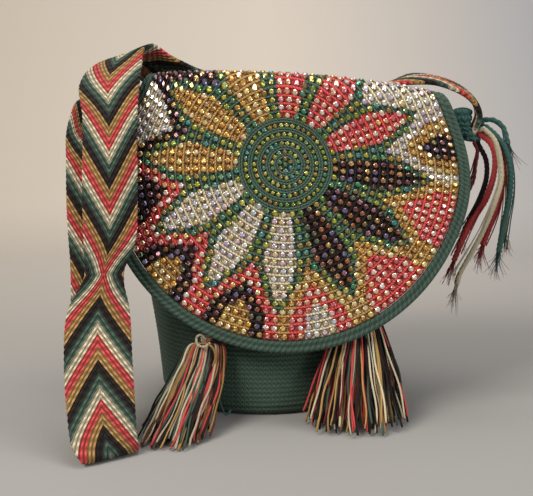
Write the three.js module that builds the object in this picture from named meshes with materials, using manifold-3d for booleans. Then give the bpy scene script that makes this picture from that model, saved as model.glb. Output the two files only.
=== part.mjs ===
// Crocheted shoulder bag: a round-bottomed bucket, a big round flap set with stones, a woven
// chevron strap, a drawstring with two tassels, and the yarn ends of the strap.
// Millimetres, +Z up. The origin is the middle of the flat base, and -Y is the front.

import * as THREE from "three";
import Module from "manifold-3d";
import { mergeVertices } from "three/addons/utils/BufferGeometryUtils.js";

const wasm = await Module();
wasm.setup();

// Driving dimensions: bag body
const baseRadius = 80;
const baseCorner = 8;
const bodyHeight = 243;
const bodyWall = 3.5;
const rimHalfWidth = 137;
const rimHalfDepth = 31;
const rimShiftX = 13;
const rimShiftY = -2;
const widthFlare = 1.35;
const depthFlare = 2.1;
const shiftFlare = 1.3;
const sagSlope = -0.055;
const sagBend = -0.0006;
const rowPitch = 12;
const rowRelief = 1;
const bodySides = 32;

// Driving dimensions: flap
const flapRadius = 140;
const flapThickness = 4;
const flapCentreX = 18;
const flapCentreY = -62;
const flapDrop = 53;
const flapLean = THREE.MathUtils.degToRad(14);
const foldRadius = 12;
const foldRise = 10;
const foldDip = THREE.MathUtils.degToRad(24);
const backLift = 1;
const sideCurl = 8;
const topGather = 0.14;
const edgingWidth = 9;
const edgingThickness = 7;
const edgingRound = 1.5;
const edgingGroove = 2;
const edgingSteps = 60;
const stonePitch = 9.9;
const stoneWidth = 8.3;
const stoneHeight = 2.4;
const petalCount = 12;
const petalTilt = THREE.MathUtils.degToRad(-3);
const medallionRadius = 31;
const petalTip = 104;
const petalStem = 4;
const petalSwell = 10;
const petalSkew = 1.2;

// Driving dimensions: strap
const strapThickness = 4;
const strapRelief = 0.7;
const strapStep = 8;
const strapColumns = 4;
const tabLength = 26;
const tabWidth = 18;
const tabThickness = 16;
const tabSwell = 0.5;
const tabRibs = 5;
const tabSides = 12;
const tabRise = 7;
const tabDropLeft = 16;
const tabLeanRight = 19;
const tabDepthRight = -6;

// Driving dimensions: drawstring and tassels
const drawstringDiameter = 4.5;
const eyeletCount = 12;
const eyeletWidth = 20;
const eyeletHeight = 9;
const eyeletDrop = 16;
const neckRadius = 6.3;
const tieRadius = 4.2;
const tieHeight = 6.5;
const tieRelief = 0.3;
const skirtFlutes = 11;
const fluteDepth = 0.09;
const hangCurve = 1.3;
const depthSpread = 1.1;
const hemJag = 4;

// Clearance kept between two pieces that touch
const seatGap = 0.3;

const yarn = {
  green: "#2d5046",
  edging: "#30524a",
  teal: "#285550",
  tan: "#a58250",
  coral: "#cb5052",
  cream: "#cdbe9b",
  brown: "#32261c",
  maroon: "#781928",
  rust: "#964b2d",
};
const strapOrder = ["tan", "coral", "cream", "green", "brown"];
const petalOrder = [
  "coral", "coral", "coral", "tan", "tan", "tan", "cream", "cream", "cream", "brown", "brown", "brown",
];

const bag = new THREE.Group();

function point(x, y, z) {
  return new THREE.Vector3(x, y, z);
}

function addPiece(name, geometry, colour, roughness = 0.9) {
  const material = new THREE.MeshStandardMaterial({ color: colour, roughness, metalness: 0 });
  if (geometry.getAttribute("color")) {
    material.color.set("#ffffff");
    material.vertexColors = true;
  }
  geometry.computeVertexNormals();
  const mesh = new THREE.Mesh(geometry, material);
  mesh.name = name;
  bag.add(mesh);
  return mesh;
}

function geometryOf(points, faces, colours) {
  const geometry = new THREE.BufferGeometry();
  geometry.setAttribute("position", new THREE.Float32BufferAttribute(points.flatMap((p) => p.toArray()), 3));
  geometry.setIndex(faces.flat());
  if (colours) {
    geometry.setAttribute("color", new THREE.Float32BufferAttribute(colours.flatMap((c) => c.toArray()), 3));
  }
  return geometry;
}

// A skin through rings of equal count. Each ring runs anticlockwise seen from the end it moves towards.
function loft(rings, { ringClosed = false, leansRight = () => true, colours } = {}) {
  const count = rings[0].length;
  const points = rings.flat();
  const faces = [];
  const spans = ringClosed ? rings.length : rings.length - 1;
  for (let i = 0; i < spans; i += 1) {
    const low = i * count;
    const high = ((i + 1) % rings.length) * count;
    for (let j = 0; j < count; j += 1) {
      const k = (j + 1) % count;
      if (leansRight(i, j)) {
        faces.push([low + j, low + k, high + k], [low + j, high + k, high + j]);
      } else {
        faces.push([low + j, low + k, high + j], [low + k, high + k, high + j]);
      }
    }
  }
  if (!ringClosed) {
    capEnd(points, faces, 0, count, true);
    capEnd(points, faces, (rings.length - 1) * count, count, false);
  }
  const skin = colours ? colours.flat() : undefined;
  if (skin) {
    skin.push(skin[0], skin[skin.length - 1]);
  }
  return geometryOf(points, faces, skin);
}

function capEnd(points, faces, start, count, facesBack) {
  const middle = point(0, 0, 0);
  for (let j = 0; j < count; j += 1) {
    middle.add(points[start + j]);
  }
  points.push(middle.divideScalar(count));
  const centre = points.length - 1;
  for (let j = 0; j < count; j += 1) {
    const k = (j + 1) % count;
    faces.push(facesBack ? [centre, start + k, start + j] : [centre, start + j, start + k]);
  }
}

function solidOf(geometry) {
  const bare = geometry.clone();
  bare.deleteAttribute("normal");
  bare.deleteAttribute("uv");
  const merged = mergeVertices(bare, 1e-4);
  const vertProperties = new Float32Array(merged.getAttribute("position").array);
  const triVerts = new Uint32Array(merged.getIndex().array);
  return new wasm.Manifold(new wasm.Mesh({ numProp: 3, vertProperties, triVerts }));
}

function geometryFrom(solid) {
  const mesh = solid.getMesh();
  const geometry = new THREE.BufferGeometry();
  geometry.setAttribute("position", new THREE.BufferAttribute(new Float32Array(mesh.vertProperties), 3));
  geometry.setIndex(new THREE.BufferAttribute(new Uint32Array(mesh.triVerts), 1));
  return geometry;
}

// The bag's top sags towards its right side, and the flap that lies on it sags with it.
function sag(x) {
  const offset = x - flapCentreX;
  return sagSlope * offset + sagBend * offset * offset;
}

function bodyAxes(z) {
  const share = Math.max(z, 0) / bodyHeight;
  return {
    halfWidth: baseRadius + (rimHalfWidth - baseRadius) * share ** widthFlare,
    halfDepth: baseRadius + (rimHalfDepth - baseRadius) * share ** depthFlare,
    x: rimShiftX * share ** shiftFlare,
    y: rimShiftY * share,
    sagShare: share ** 4,
  };
}

// A point of the wall at a height and an angle, moved out from the wall by a distance.
function bodyPoint(z, angle, out) {
  const axes = bodyAxes(z);
  const x = axes.x + (axes.halfWidth + out) * Math.cos(angle);
  const y = axes.y + (axes.halfDepth + out) * Math.sin(angle);
  return point(x, y, z + axes.sagShare * sag(x));
}

function bodyRing(z, out) {
  const ring = [];
  for (let j = 0; j < bodySides; j += 1) {
    ring.push(bodyPoint(z, (j / bodySides) * 2 * Math.PI, out));
  }
  return ring;
}

function eyeletAngle(index) {
  return -Math.PI / 2 + ((index + 0.5) / eyeletCount) * 2 * Math.PI;
}

// Flat base, wall worked in rows that stand out as ribs, rim and a smooth inside, in one piece
function makeBody() {
  const rings = [bodyRing(0, -baseRadius * 0.5), bodyRing(0, -baseCorner)];
  rings.push(bodyRing(baseCorner * 0.3, -baseCorner * 0.3));
  const rows = Math.round((bodyHeight - baseCorner) / rowPitch);
  for (let row = 0; row < rows; row += 1) {
    const low = baseCorner + (row * (bodyHeight - baseCorner)) / rows;
    rings.push(bodyRing(low, 0), bodyRing(low + rowPitch / 2, rowRelief));
  }
  rings.push(bodyRing(bodyHeight, 0), bodyRing(bodyHeight, -bodyWall));
  const innerSteps = 6;
  for (let i = innerSteps - 1; i >= 1; i -= 1) {
    const level = bodyWall + baseCorner + (i / innerSteps) * (bodyHeight - bodyWall - baseCorner);
    rings.push(bodyRing(level, -bodyWall));
  }
  rings.push(bodyRing(bodyWall + baseCorner, -bodyWall), bodyRing(bodyWall, -bodyWall - baseCorner));
  rings.push(bodyRing(bodyWall, -baseRadius * 0.5));
  let body = solidOf(loft(rings));
  for (let index = 0; index < eyeletCount; index += 1) {
    body = body.subtract(solidOf(eyeletCutter(eyeletAngle(index))));
  }
  addPiece("bag_body", geometryFrom(body), yarn.green);
}

function eyeletCutter(angle) {
  const z = bodyHeight - eyeletDrop;
  const middle = bodyPoint(z, angle, -bodyWall / 2);
  const along = bodyPoint(z, angle + 0.02, -bodyWall / 2).sub(middle);
  const cutter = new THREE.BoxGeometry(eyeletWidth, bodyWall * 4, eyeletHeight);
  cutter.rotateZ(Math.atan2(along.y, along.x));
  cutter.translate(middle.x, middle.y, middle.z);
  return cutter;
}

// Flap surface: u to the right and v up from the disc's middle, height out from its back face.
// The front part leans out, bends back over the fold, dips, and lands on the back rim.
const flapCentreZ = bodyHeight - flapDrop;
const flapFoot = flapCentreZ - flapRadius;
const foldCentreZ = bodyHeight + foldRise - foldRadius;
const foldStart = (foldCentreZ + foldRadius * Math.sin(flapLean) - flapCentreZ) / Math.cos(flapLean);
const foldCentreY = flapCentreY + foldStart * Math.sin(flapLean) + foldRadius * Math.cos(flapLean);
const edgingLow = (flapThickness - edgingThickness) / 2;
const foldAngle = Math.PI / 2 + foldDip - flapLean;
const foldEnd = foldStart + foldRadius * foldAngle;
const backLength = flapRadius - foldEnd;
const backSeat = bodyHeight + seatGap + backLift - edgingLow;
const backDrop = foldCentreZ + foldRadius * Math.cos(foldDip) - backSeat;
const backRadius = backLength / (2 * (foldDip - Math.asin(backDrop / backLength)));
const gatherStart = 0.43 * flapRadius;
const gatherEnd = 0.93 * flapRadius;

function flapPoint(u, v, height) {
  const turn = THREE.MathUtils.clamp((v - foldStart) / foldRadius, 0, foldAngle);
  const angle = flapLean + turn;
  const straight = Math.min(v - foldStart, 0);
  let y = foldCentreY - (foldRadius + height) * Math.cos(angle) + straight * Math.sin(angle);
  let z = foldCentreZ + (foldRadius + height) * Math.sin(angle) + straight * Math.cos(angle);
  if (v > foldEnd) {
    const backAngle = angle - (v - foldEnd) / backRadius;
    y += (backRadius - height) * (Math.cos(backAngle) - Math.cos(angle));
    z += (backRadius - height) * (Math.sin(angle) - Math.sin(backAngle));
  }
  const gatherLeft = THREE.MathUtils.smoothstep(-u, gatherStart, gatherEnd);
  const gather = topGather * gatherLeft * THREE.MathUtils.smoothstep(v, 0, flapRadius / 2);
  const x = flapCentreX + u * (1 - gather);
  const sagShare = THREE.MathUtils.smoothstep(v, -flapRadius / 2, foldStart);
  const curlShare = 1 - THREE.MathUtils.smoothstep(v, foldStart, foldEnd);
  return point(x, y + curlShare * sideCurl * (u / flapRadius) ** 2, z + sagShare * sag(x));
}

function flapPolar(radius, angle, height) {
  return flapPoint(radius * Math.cos(angle), radius * Math.sin(angle), height);
}

// Colour of the mandala at a place of the disc: medallion, petals, and the green between them
function mandalaColour(radius, angle) {
  const sector = (2 * Math.PI) / petalCount;
  const index = Math.round((angle - petalTilt) / sector);
  const offset = Math.abs(angle - petalTilt - index * sector) * radius;
  const share = THREE.MathUtils.clamp((radius - medallionRadius) / (petalTip - medallionRadius), 0, 1);
  const halfWidth = petalStem + petalSwell * Math.sin(Math.PI * share ** petalSkew);
  if (radius > petalTip + stonePitch) {
    return new THREE.Color(index % 2 === 0 ? yarn.coral : yarn.tan);
  }
  if (radius < medallionRadius || radius > petalTip || offset > halfWidth) {
    return new THREE.Color(yarn.green);
  }
  return new THREE.Color(yarn[petalOrder[((index % petalCount) + petalCount) % petalCount]]);
}

const mandalaRadius = flapRadius - edgingWidth - seatGap;

function circleOf(points, colours, radius, count, height) {
  const start = points.length;
  for (let j = 0; j < count; j += 1) {
    const angle = (j / count) * 2 * Math.PI;
    points.push(flapPolar(radius, angle, height));
    colours.push(new THREE.Color(yarn.green));
  }
  return { start, count };
}

// Joins two circles of different counts by a strip of triangles that face the flap's front.
function stitch(faces, inner, outer) {
  let i = 0;
  let j = 0;
  while (i < inner.count || j < outer.count) {
    const a = inner.start + (i % inner.count);
    const b = outer.start + (j % outer.count);
    if (j >= outer.count || (i < inner.count && (i + 1) / inner.count <= (j + 1) / outer.count)) {
      faces.push([a, b, inner.start + ((i + 1) % inner.count)]);
      i += 1;
    } else {
      faces.push([a, b, outer.start + ((j + 1) % outer.count)]);
      j += 1;
    }
  }
}

// One ring of stones: each is a low pyramid whose tip stands at the middle of its cell.
function stoneRing(points, colours, faces, radius, count, halfWidth) {
  const inner = circleOf(points, colours, radius - halfWidth, count, flapThickness);
  const outer = circleOf(points, colours, radius + halfWidth, count, flapThickness);
  for (let j = 0; j < count; j += 1) {
    const angle = ((j + 0.5) / count) * 2 * Math.PI;
    const tip = points.length;
    const k = (j + 1) % count;
    points.push(flapPolar(radius, angle, flapThickness + stoneHeight));
    colours.push(mandalaColour(radius, angle > Math.PI ? angle - 2 * Math.PI : angle));
    faces.push([tip, inner.start + j, outer.start + j], [tip, outer.start + j, outer.start + k]);
    faces.push([tip, outer.start + k, inner.start + k], [tip, inner.start + k, inner.start + j]);
  }
  return { inner, outer };
}

function makeFlapPanel() {
  const points = [flapPolar(0, 0, flapThickness + stoneHeight)];
  const colours = [new THREE.Color(yarn.green)];
  const faces = [];
  const ringCount = Math.floor(mandalaRadius / stonePitch);
  const ringPitch = mandalaRadius / (ringCount + 0.5);
  let last;
  for (let ring = 1; ring <= ringCount; ring += 1) {
    const radius = ring * ringPitch;
    const count = Math.max(6, Math.round((2 * Math.PI * radius) / stonePitch));
    const { inner, outer } = stoneRing(points, colours, faces, radius, count, stoneWidth / 2);
    if (last) {
      stitch(faces, last, inner);
    } else {
      for (let j = 0; j < inner.count; j += 1) {
        faces.push([0, inner.start + j, inner.start + ((j + 1) % inner.count)]);
      }
    }
    last = outer;
  }
  const backSteps = 9;
  let shape = circleOf(points, colours, mandalaRadius, edgingSteps, flapThickness);
  stitch(faces, last, shape);
  for (let i = backSteps; i >= 1; i -= 1) {
    const next = circleOf(points, colours, (mandalaRadius * i) / backSteps, edgingSteps, 0);
    stitch(faces, shape, next);
    shape = next;
  }
  points.push(flapPolar(0, 0, 0));
  colours.push(new THREE.Color(yarn.green));
  for (let j = 0; j < edgingSteps; j += 1) {
    faces.push([points.length - 1, shape.start + ((j + 1) % edgingSteps), shape.start + j]);
  }
  addPiece("flap_panel", geometryOf(points, faces, colours), yarn.green, 0.45);
}

// Border of two round ribs, worked round the disc
function makeEdging() {
  const inside = flapRadius - edgingWidth;
  const rib = edgingWidth / 2;
  const low = edgingLow;
  const high = low + edgingThickness;
  const section = [
    [inside, low + edgingRound], [inside + rib * 0.5, low], [flapRadius - rib * 0.5, low],
    [flapRadius, (low + high) / 2], [flapRadius - rib * 0.5, high], [inside + rib, high - edgingGroove],
    [inside + rib * 0.5, high], [inside, high - edgingRound],
  ];
  const rings = [];
  for (let step = 0; step < edgingSteps; step += 1) {
    const angle = (step / edgingSteps) * 2 * Math.PI;
    rings.push(section.map(([radius, height]) => flapPolar(radius, angle, height)).reverse());
  }
  addPiece("flap_edging", loft(rings, { ringClosed: true }), yarn.edging);
}

// A station of the strap that lies on the bag is measured up from the rim.
function fromRim(x, y, rise) {
  return point(x, y, bodyHeight + rise);
}

// Strap edges, point by point from the right tab over the flap's top, down the front at the left to
// the floor, and back up behind itself to the left tab. Each row: front or right edge, other edge.
const strapRoute = [
  [fromRim(169, -15, -26), fromRim(170, 5, -25)],
  [fromRim(171, -16, -20), fromRim(172, 6, -19)],
  [fromRim(168, -18, -11), fromRim(170, 8, -9)],
  [fromRim(160, -20, -3), fromRim(162, 12, 0)],
  [fromRim(148, -21, 3), fromRim(150, 14, 7)],
  [fromRim(134, -21, 7), fromRim(135, 16, 11)],
  [fromRim(117, -19, 7), fromRim(119, 20, 11.5)],
  [fromRim(98, -16, 5.5), fromRim(99, 24, 3)],
  [fromRim(75, -15, 7), fromRim(75, 26, 5.5)],
  [fromRim(20, -15, 12), fromRim(20, 27, 10.5)],
  [fromRim(-15, -14, 13.5), fromRim(-15, 28, 12)],
  [fromRim(-35, -12, 15), fromRim(-36, 28, 10.5)],
  [fromRim(-46, -10, 15.5), fromRim(-44, 26, 8.5)],
  [fromRim(-59, -11, 21), fromRim(-56, 26, 4)],
  [fromRim(-72, -13, 28), fromRim(-72, 26, 7)],
  [fromRim(-83, -17, 36), fromRim(-92, 24, 23)],
  [fromRim(-91, -27, 34), fromRim(-119, 6, 28)],
  [point(-94, -42, 266), point(-132, -20, 261)],
  [point(-95, -56, 252), point(-138, -42, 248)],
  [point(-93, -70, 232), point(-133, -62, 228)],
  [point(-91, -82, 206), point(-131, -80, 202)],
  [point(-90, -93, 174), point(-130, -94, 171)],
  [point(-91, -104, 140), point(-128, -106, 138)],
  [point(-99, -112, 117), point(-127, -114, 116)],
  [point(-94, -122, 93), point(-138, -125, 92)],
  [point(-91, -138, 62), point(-138, -145, 60)],
  [point(-88, -154, 34), point(-133, -168, 32)],
  [point(-86, -164, 14), point(-127, -186, 13)],
  [point(-85, -163, 4.4), point(-121, -190, 4.4)],
  [point(-87, -149, 4.4), point(-122, -176, 4.4)],
  [point(-97, -131, 14), point(-132, -158, 13)],
  [point(-98, -126, 45), point(-136, -141, 43)],
  [point(-98, -115, 80), point(-137, -119, 80)],
  [point(-100, -103, 118), point(-138, -106, 118)],
  [point(-102, -87, 158), point(-142, -91, 158)],
  [point(-107, -72, 194), point(-144, -76, 194)],
  [fromRim(-127, -52, -30), fromRim(-145, -66, -30)],
  [fromRim(-131, -26, -15), fromRim(-144, -48, -15)],
  [fromRim(-133, -2, -7), fromRim(-142, -28, -7)],
  [fromRim(-132, 9, -9), fromRim(-134, -18, -9)],
  [fromRim(-131, 10, -15), fromRim(-132, -18, -15)],
];

const strapRight = new THREE.CatmullRomCurve3(strapRoute.map((pair) => pair[0]));
const strapLeft = new THREE.CatmullRomCurve3(strapRoute.map((pair) => pair[1]));
const strapCentres = strapRoute.map(([right, left]) => right.clone().lerp(left, 0.5));
const strapMiddle = new THREE.CatmullRomCurve3(strapCentres);
strapMiddle.arcLengthDivisions = 600;

function strapFrame(share) {
  const t = strapMiddle.getUtoTmapping(share);
  const right = strapRight.getPoint(t);
  const left = strapLeft.getPoint(t);
  const along = strapMiddle.getTangent(t);
  const normal = along.cross(right.clone().sub(left)).normalize();
  return { right, left, normal };
}

// A woven band whose ribs meet along its middle as chevrons that point to the strap's half length
function makeStrap() {
  const steps = Math.round(strapMiddle.getLength() / strapStep);
  const rings = [];
  const colours = [];
  for (let i = 0; i <= steps; i += 1) {
    const { right, left, normal } = strapFrame(i / steps);
    const front = [];
    const back = [];
    const shades = [];
    for (let j = 0; j <= strapColumns; j += 1) {
      const centre = left.clone().lerp(right, j / strapColumns);
      const across = Math.abs(j - strapColumns / 2);
      const order = i < steps / 2 ? i - across : i + across;
      const relief = order % 2 === 0 ? strapRelief : -strapRelief;
      front.push(centre.clone().addScaledVector(normal, strapThickness / 2 + relief));
      back.push(centre.clone().addScaledVector(normal, -strapThickness / 2));
      const band = ((Math.floor(order / 2) % strapOrder.length) + strapOrder.length) % strapOrder.length;
      shades.push(new THREE.Color(yarn[strapOrder[band]]));
    }
    rings.push([...front, ...back.reverse()].reverse());
    colours.push([...shades, ...shades.slice().reverse()].reverse());
  }
  const count = rings[0].length;
  const leansRight = (i, j) => {
    const column = count - 2 - j;
    const rightHalf = column >= strapColumns / 2 && column < strapColumns;
    return i < steps / 2 ? rightHalf : !rightHalf;
  };
  addPiece("strap", loft(rings, { leansRight, colours }), yarn.green);
}

// Middle line of a tab: from its top down the side of the bag, leaning away from the wall
function tabLine(top, wallAngle, drop, lean) {
  const route = [top];
  for (const share of [0.25, 0.6, 1]) {
    const out = tabThickness / 2 + tabSwell + seatGap + lean * share ** 2;
    const place = bodyPoint(bodyHeight - drop - share * tabLength, wallAngle, out);
    place.y = top.y;
    route.push(place);
  }
  return new THREE.CatmullRomCurve3(route);
}

// The right tab stands beside the rim's end and above it, inside the strap that hangs down over it.
function rightTabTop() {
  const beside = bodyPoint(bodyHeight, 0, tabThickness / 2 + tabSwell + seatGap);
  return beside.setY(tabDepthRight).setZ(beside.z + tabRise);
}

// The left tab starts under the strap's other end.
function leftTabTop() {
  const { right, left, normal } = strapFrame(1);
  const middle = right.clone().lerp(left, 0.5);
  return middle.setZ(middle.z - (strapThickness / 2 + strapRelief) * Math.abs(normal.z) - seatGap);
}

// A point round the tab at a share of its length, moved out from its middle line
function tabPoint(line, share, angle, out) {
  const centre = line.getPoint(share);
  const x = centre.x + (tabThickness / 2 + out) * Math.cos(angle);
  const y = centre.y + (tabWidth / 2 + out) * Math.sin(angle);
  return point(x, y, centre.z);
}

const rightTabLine = tabLine(rightTabTop(), 0, 0, tabLeanRight);
const leftTabLine = tabLine(leftTabTop(), Math.PI, tabDropLeft, 0);

// Thick crochet tab that gathers the strap's end and is sewn to the side of the bag
function makeTab(name, line) {
  const rings = [];
  for (let i = 0; i <= tabRibs * 2; i += 1) {
    const ring = [];
    for (let j = 0; j < tabSides; j += 1) {
      const angle = (-j / tabSides) * 2 * Math.PI;
      ring.push(tabPoint(line, i / (tabRibs * 2), angle, i % 2 === 0 ? 0 : tabSwell));
    }
    rings.push(ring);
  }
  addPiece(name, loft(rings), yarn.teal);
}

function cordGeometry(points, diameter, steps) {
  const section = new THREE.Shape();
  section.absarc(0, 0, diameter / 2, 0, 2 * Math.PI);
  const extrudePath = new THREE.CatmullRomCurve3(points);
  return new THREE.ExtrudeGeometry(section, { steps, curveSegments: 4, extrudePath, bevelEnabled: false });
}

// Yarn ends of the strap, hanging from its end at the right tab: name, colour, diameter, route
const tails = [
  ["tail_green_long", "green", 4.2, [
    point(176, -9, 216), point(184, -13, 209), point(191, -17, 199), point(195, -20, 185),
    point(195, -23, 165), point(191, -25, 142), point(187, -27, 118),
  ]],
  ["tail_green_short", "green", 3.6, [
    point(176, -3, 220.5), point(184.5, -4, 220), point(191, -6, 215), point(195, -10, 201.5),
  ]],
  ["tail_cream", "cream", 3.6, [
    point(175, -13, 214), point(182, -20, 206), point(186, -25, 192), point(186.5, -30, 176),
    point(181, -35, 158), point(173, -37, 138), point(164, -38, 120), point(155, -37, 102),
    point(153, -37, 94),
  ]],
  ["tail_coral_left", "coral", 4, [
    point(173, -10, 209), point(180, -13, 203), point(183, -17.5, 194), point(182, -22, 178),
    point(176, -25.5, 160), point(167, -28, 146), point(158, -32, 130), point(151, -32, 112),
  ]],
  ["tail_coral_right", "coral", 4, [
    point(175.5, -6, 213), point(184, -9, 208), point(190, -12, 197), point(190.5, -16, 176),
    point(185, -18, 150), point(176, -18, 122),
  ]],
  ["tail_brown", "brown", 3.6, [
    point(172, -9, 200.5), point(177, -13, 190), point(177, -18, 175), point(171, -22, 158),
    point(165, -24, 146), point(160, -24, 136),
  ]],
  ["tail_maroon", "maroon", 2.4, [
    point(167, -16, 203), point(169.5, -17, 197), point(168, -20, 186), point(166, -23, 174),
    point(160, -25, 162), point(155, -26, 152),
  ]],
  ["tail_tan", "tan", 2.4, [
    point(174.5, 2, 212), point(183, -2, 205), point(191, -7, 195), point(195, -13, 172),
    point(195, -16, 150), point(194, -17, 134),
  ]],
];

function makeTails() {
  for (const [name, colour, diameter, route] of tails) {
    const length = new THREE.CatmullRomCurve3(route).getLength();
    const steps = Math.max(6, Math.round(length / (2.5 * diameter)));
    addPiece(name, cordGeometry(route, diameter, steps), yarn[colour]);
  }
}

// Tassels: where the neck stands, where the hem's middle lies, how wide the skirt spreads, and how
// soon it does: a smaller flare spreads it nearer the neck
const tassels = [
  {
    side: "left", neck: point(-41, -85.6, flapFoot + 10), hem: point(-64, -136, 5),
    spreadX: 25, spreadY: 26, flare: 0.35,
  },
  {
    side: "right", neck: point(74, -71, flapFoot + 38), hem: point(71, -104, 5),
    spreadX: 42, spreadY: 31, flare: 0.55,
  },
];

function skirtRing(tassel, share) {
  const centre = tassel.neck.clone().lerp(tassel.hem, share ** hangCurve);
  centre.z = THREE.MathUtils.lerp(tassel.neck.z, tassel.hem.z, share);
  const halfX = neckRadius + (tassel.spreadX - neckRadius) * share ** tassel.flare;
  const halfY = neckRadius + (tassel.spreadY - neckRadius) * share ** depthSpread;
  const ring = [];
  const sides = skirtFlutes * 2;
  for (let j = 0; j < sides; j += 1) {
    const angle = (j / sides) * 2 * Math.PI;
    const flute = 1 + (j % 2 === 0 ? fluteDepth : -fluteDepth) * share ** tassel.flare;
    const drop = j % 2 === 0 && share === 1 ? hemJag : 0;
    const x = centre.x + halfX * flute * Math.cos(angle);
    const y = centre.y + halfY * flute * Math.sin(angle);
    ring.push(point(x, y, centre.z - drop));
  }
  return ring;
}

function makeTassels() {
  for (const tassel of tassels) {
    const rings = [];
    const steps = 6;
    for (let i = steps; i >= 0; i -= 1) {
      rings.push(skirtRing(tassel, (i / steps) ** 1.5));
    }
    addPiece(`tassel_${tassel.side}_skirt`, loft(rings), yarn.coral);
    makeTie(tassel);
  }
}

// Thread wound round the tassel's neck, turn by turn
function makeTie(tassel) {
  const rings = [];
  const sides = 12;
  const levels = 6;
  for (let i = 0; i <= levels; i += 1) {
    const radius = tieRadius + (i % 2 === 0 ? -tieRelief : tieRelief);
    const z = tassel.neck.z + seatGap + (i / levels) * tieHeight;
    const ring = [];
    for (let j = 0; j < sides; j += 1) {
      const angle = (j / sides) * 2 * Math.PI;
      const x = tassel.neck.x + radius * Math.cos(angle);
      ring.push(point(x, tassel.neck.y + radius * Math.sin(angle), z));
    }
    rings.push(ring);
  }
  addPiece(`tassel_${tassel.side}_tie`, loft(rings), yarn.cream);
}

// Place of the drawstring beside the wall, outside it or inside it
function lacePoint(angle, outside) {
  const reach = drawstringDiameter / 2 + rowRelief + 2 * seatGap;
  return bodyPoint(bodyHeight - eyeletDrop, angle, outside ? reach : -bodyWall - reach);
}

// Half way between the front of the bag and the back of the flap
function behindFlap(x, z) {
  const axes = bodyAxes(z);
  const share = Math.min(1, Math.abs((x - axes.x) / axes.halfWidth));
  const wallY = axes.y - (axes.halfDepth + rowRelief) * Math.sqrt(1 - share * share);
  const flapY = flapCentreY - (flapCentreZ - z) * Math.tan(flapLean);
  return point(x, (wallY + flapY) / 2, z);
}

function stringEnd(tassel) {
  const tieTop = tassel.neck.z + tieHeight + 2 * seatGap;
  return [tassel.neck.clone().setZ(tieTop), tassel.neck.clone().setZ(tieTop + 2 * drawstringDiameter)];
}

// One cord: up from the left tassel, laced in and out round the mouth, and down to the right tassel
function makeDrawstring() {
  const [left, right] = tassels;
  const route = stringEnd(left);
  route.push(behindFlap(-36, 110), behindFlap(-33, 140), behindFlap(-30, 172), behindFlap(-27, 202));
  for (let index = eyeletCount - 1; index >= 0; index -= 1) {
    const angle = eyeletAngle(index);
    const stretch = Math.hypot(rimHalfWidth * Math.sin(angle), rimHalfDepth * Math.cos(angle));
    const turn = drawstringDiameter / stretch;
    const startsOutside = index % 2 === 1;
    route.push(lacePoint(angle + turn, startsOutside), lacePoint(angle - turn, !startsOutside));
    if (index > 0) {
      route.push(lacePoint(angle - Math.PI / eyeletCount, !startsOutside));
    }
  }
  route.push(behindFlap(50, 202), behindFlap(57, 172), behindFlap(64, 142), ...stringEnd(right).reverse());
  addPiece("drawstring", cordGeometry(route, drawstringDiameter, 80), yarn.rust);
}

makeBody();
makeFlapPanel();
makeEdging();
makeStrap();
makeTab("strap_tab_right", rightTabLine);
makeTab("strap_tab_left", leftTabLine);
makeTails();
makeTassels();
makeDrawstring();

export default bag;
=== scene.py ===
# %% [markdown]
# # A crocheted shoulder bag with a stone-covered flap
#
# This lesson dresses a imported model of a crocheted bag. The real bag is cotton yarn: a bucket worked in a
# spiral, a round flap with a glass stone in every stitch, a woven strap, and tassels of loose strands.
# Everything below is worked out with numpy, because yarn is a shape that repeats, and a formula over
# a whole grid says how it repeats better than placing copies by hand does.

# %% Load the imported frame
import math

import bpy
import numpy as np
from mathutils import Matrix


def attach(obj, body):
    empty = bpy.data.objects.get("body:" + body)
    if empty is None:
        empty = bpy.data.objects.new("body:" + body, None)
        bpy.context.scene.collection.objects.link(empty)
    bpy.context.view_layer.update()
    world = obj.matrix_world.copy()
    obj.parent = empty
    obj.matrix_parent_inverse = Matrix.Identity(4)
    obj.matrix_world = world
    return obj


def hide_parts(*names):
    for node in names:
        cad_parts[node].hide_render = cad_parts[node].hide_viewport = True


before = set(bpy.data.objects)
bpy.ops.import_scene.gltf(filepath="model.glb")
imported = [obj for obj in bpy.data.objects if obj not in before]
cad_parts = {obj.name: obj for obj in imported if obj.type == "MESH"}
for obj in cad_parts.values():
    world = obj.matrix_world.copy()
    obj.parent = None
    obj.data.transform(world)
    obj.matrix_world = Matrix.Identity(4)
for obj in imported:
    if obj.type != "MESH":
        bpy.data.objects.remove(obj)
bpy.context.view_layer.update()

MM = 0.001
TAU = 2 * math.pi

# %% [markdown]
# ## The camera
# The photo looks slightly down on the bag from about a metre away with a long lens, so the round flap
# keeps its shape. A long lens from far off flattens the view; a short lens close up would swell the flap.

# %% Camera
CAMERA_PLACE = (0.0038, -0.9587, 0.2856)
CAMERA_PITCH = math.radians(10)
LENS_MM = 81.05

camera_data = bpy.data.cameras.new("camera")
camera_data.lens = LENS_MM
camera_data.sensor_width = 36
camera = bpy.data.objects.new("camera", camera_data)
bpy.context.scene.collection.objects.link(camera)
camera.location = CAMERA_PLACE
camera.rotation_euler = (math.pi / 2 - CAMERA_PITCH, 0, 0)
bpy.context.scene.camera = camera

# %% [markdown]
# ## Tools for surfaces
# A piece is a sheet with a front and a back grid, a tube along a path, or many tubes at once. Each tool
# takes whole arrays and returns points and faces, in millimetres. One function turns those into a mesh
# in metres, with its UV map and with the named values that the materials read.

# %% Mesh helpers


def unwrapped(uv, faces, wrap):
    """UV of each face corner. Where a face crosses the seam, its low first values gain one full turn."""
    corners = uv[faces].copy()
    u = corners[..., 0]
    u[u < u.max(axis=1, keepdims=True) - wrap / 2] += wrap
    return corners.reshape(-1, 2)


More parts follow.
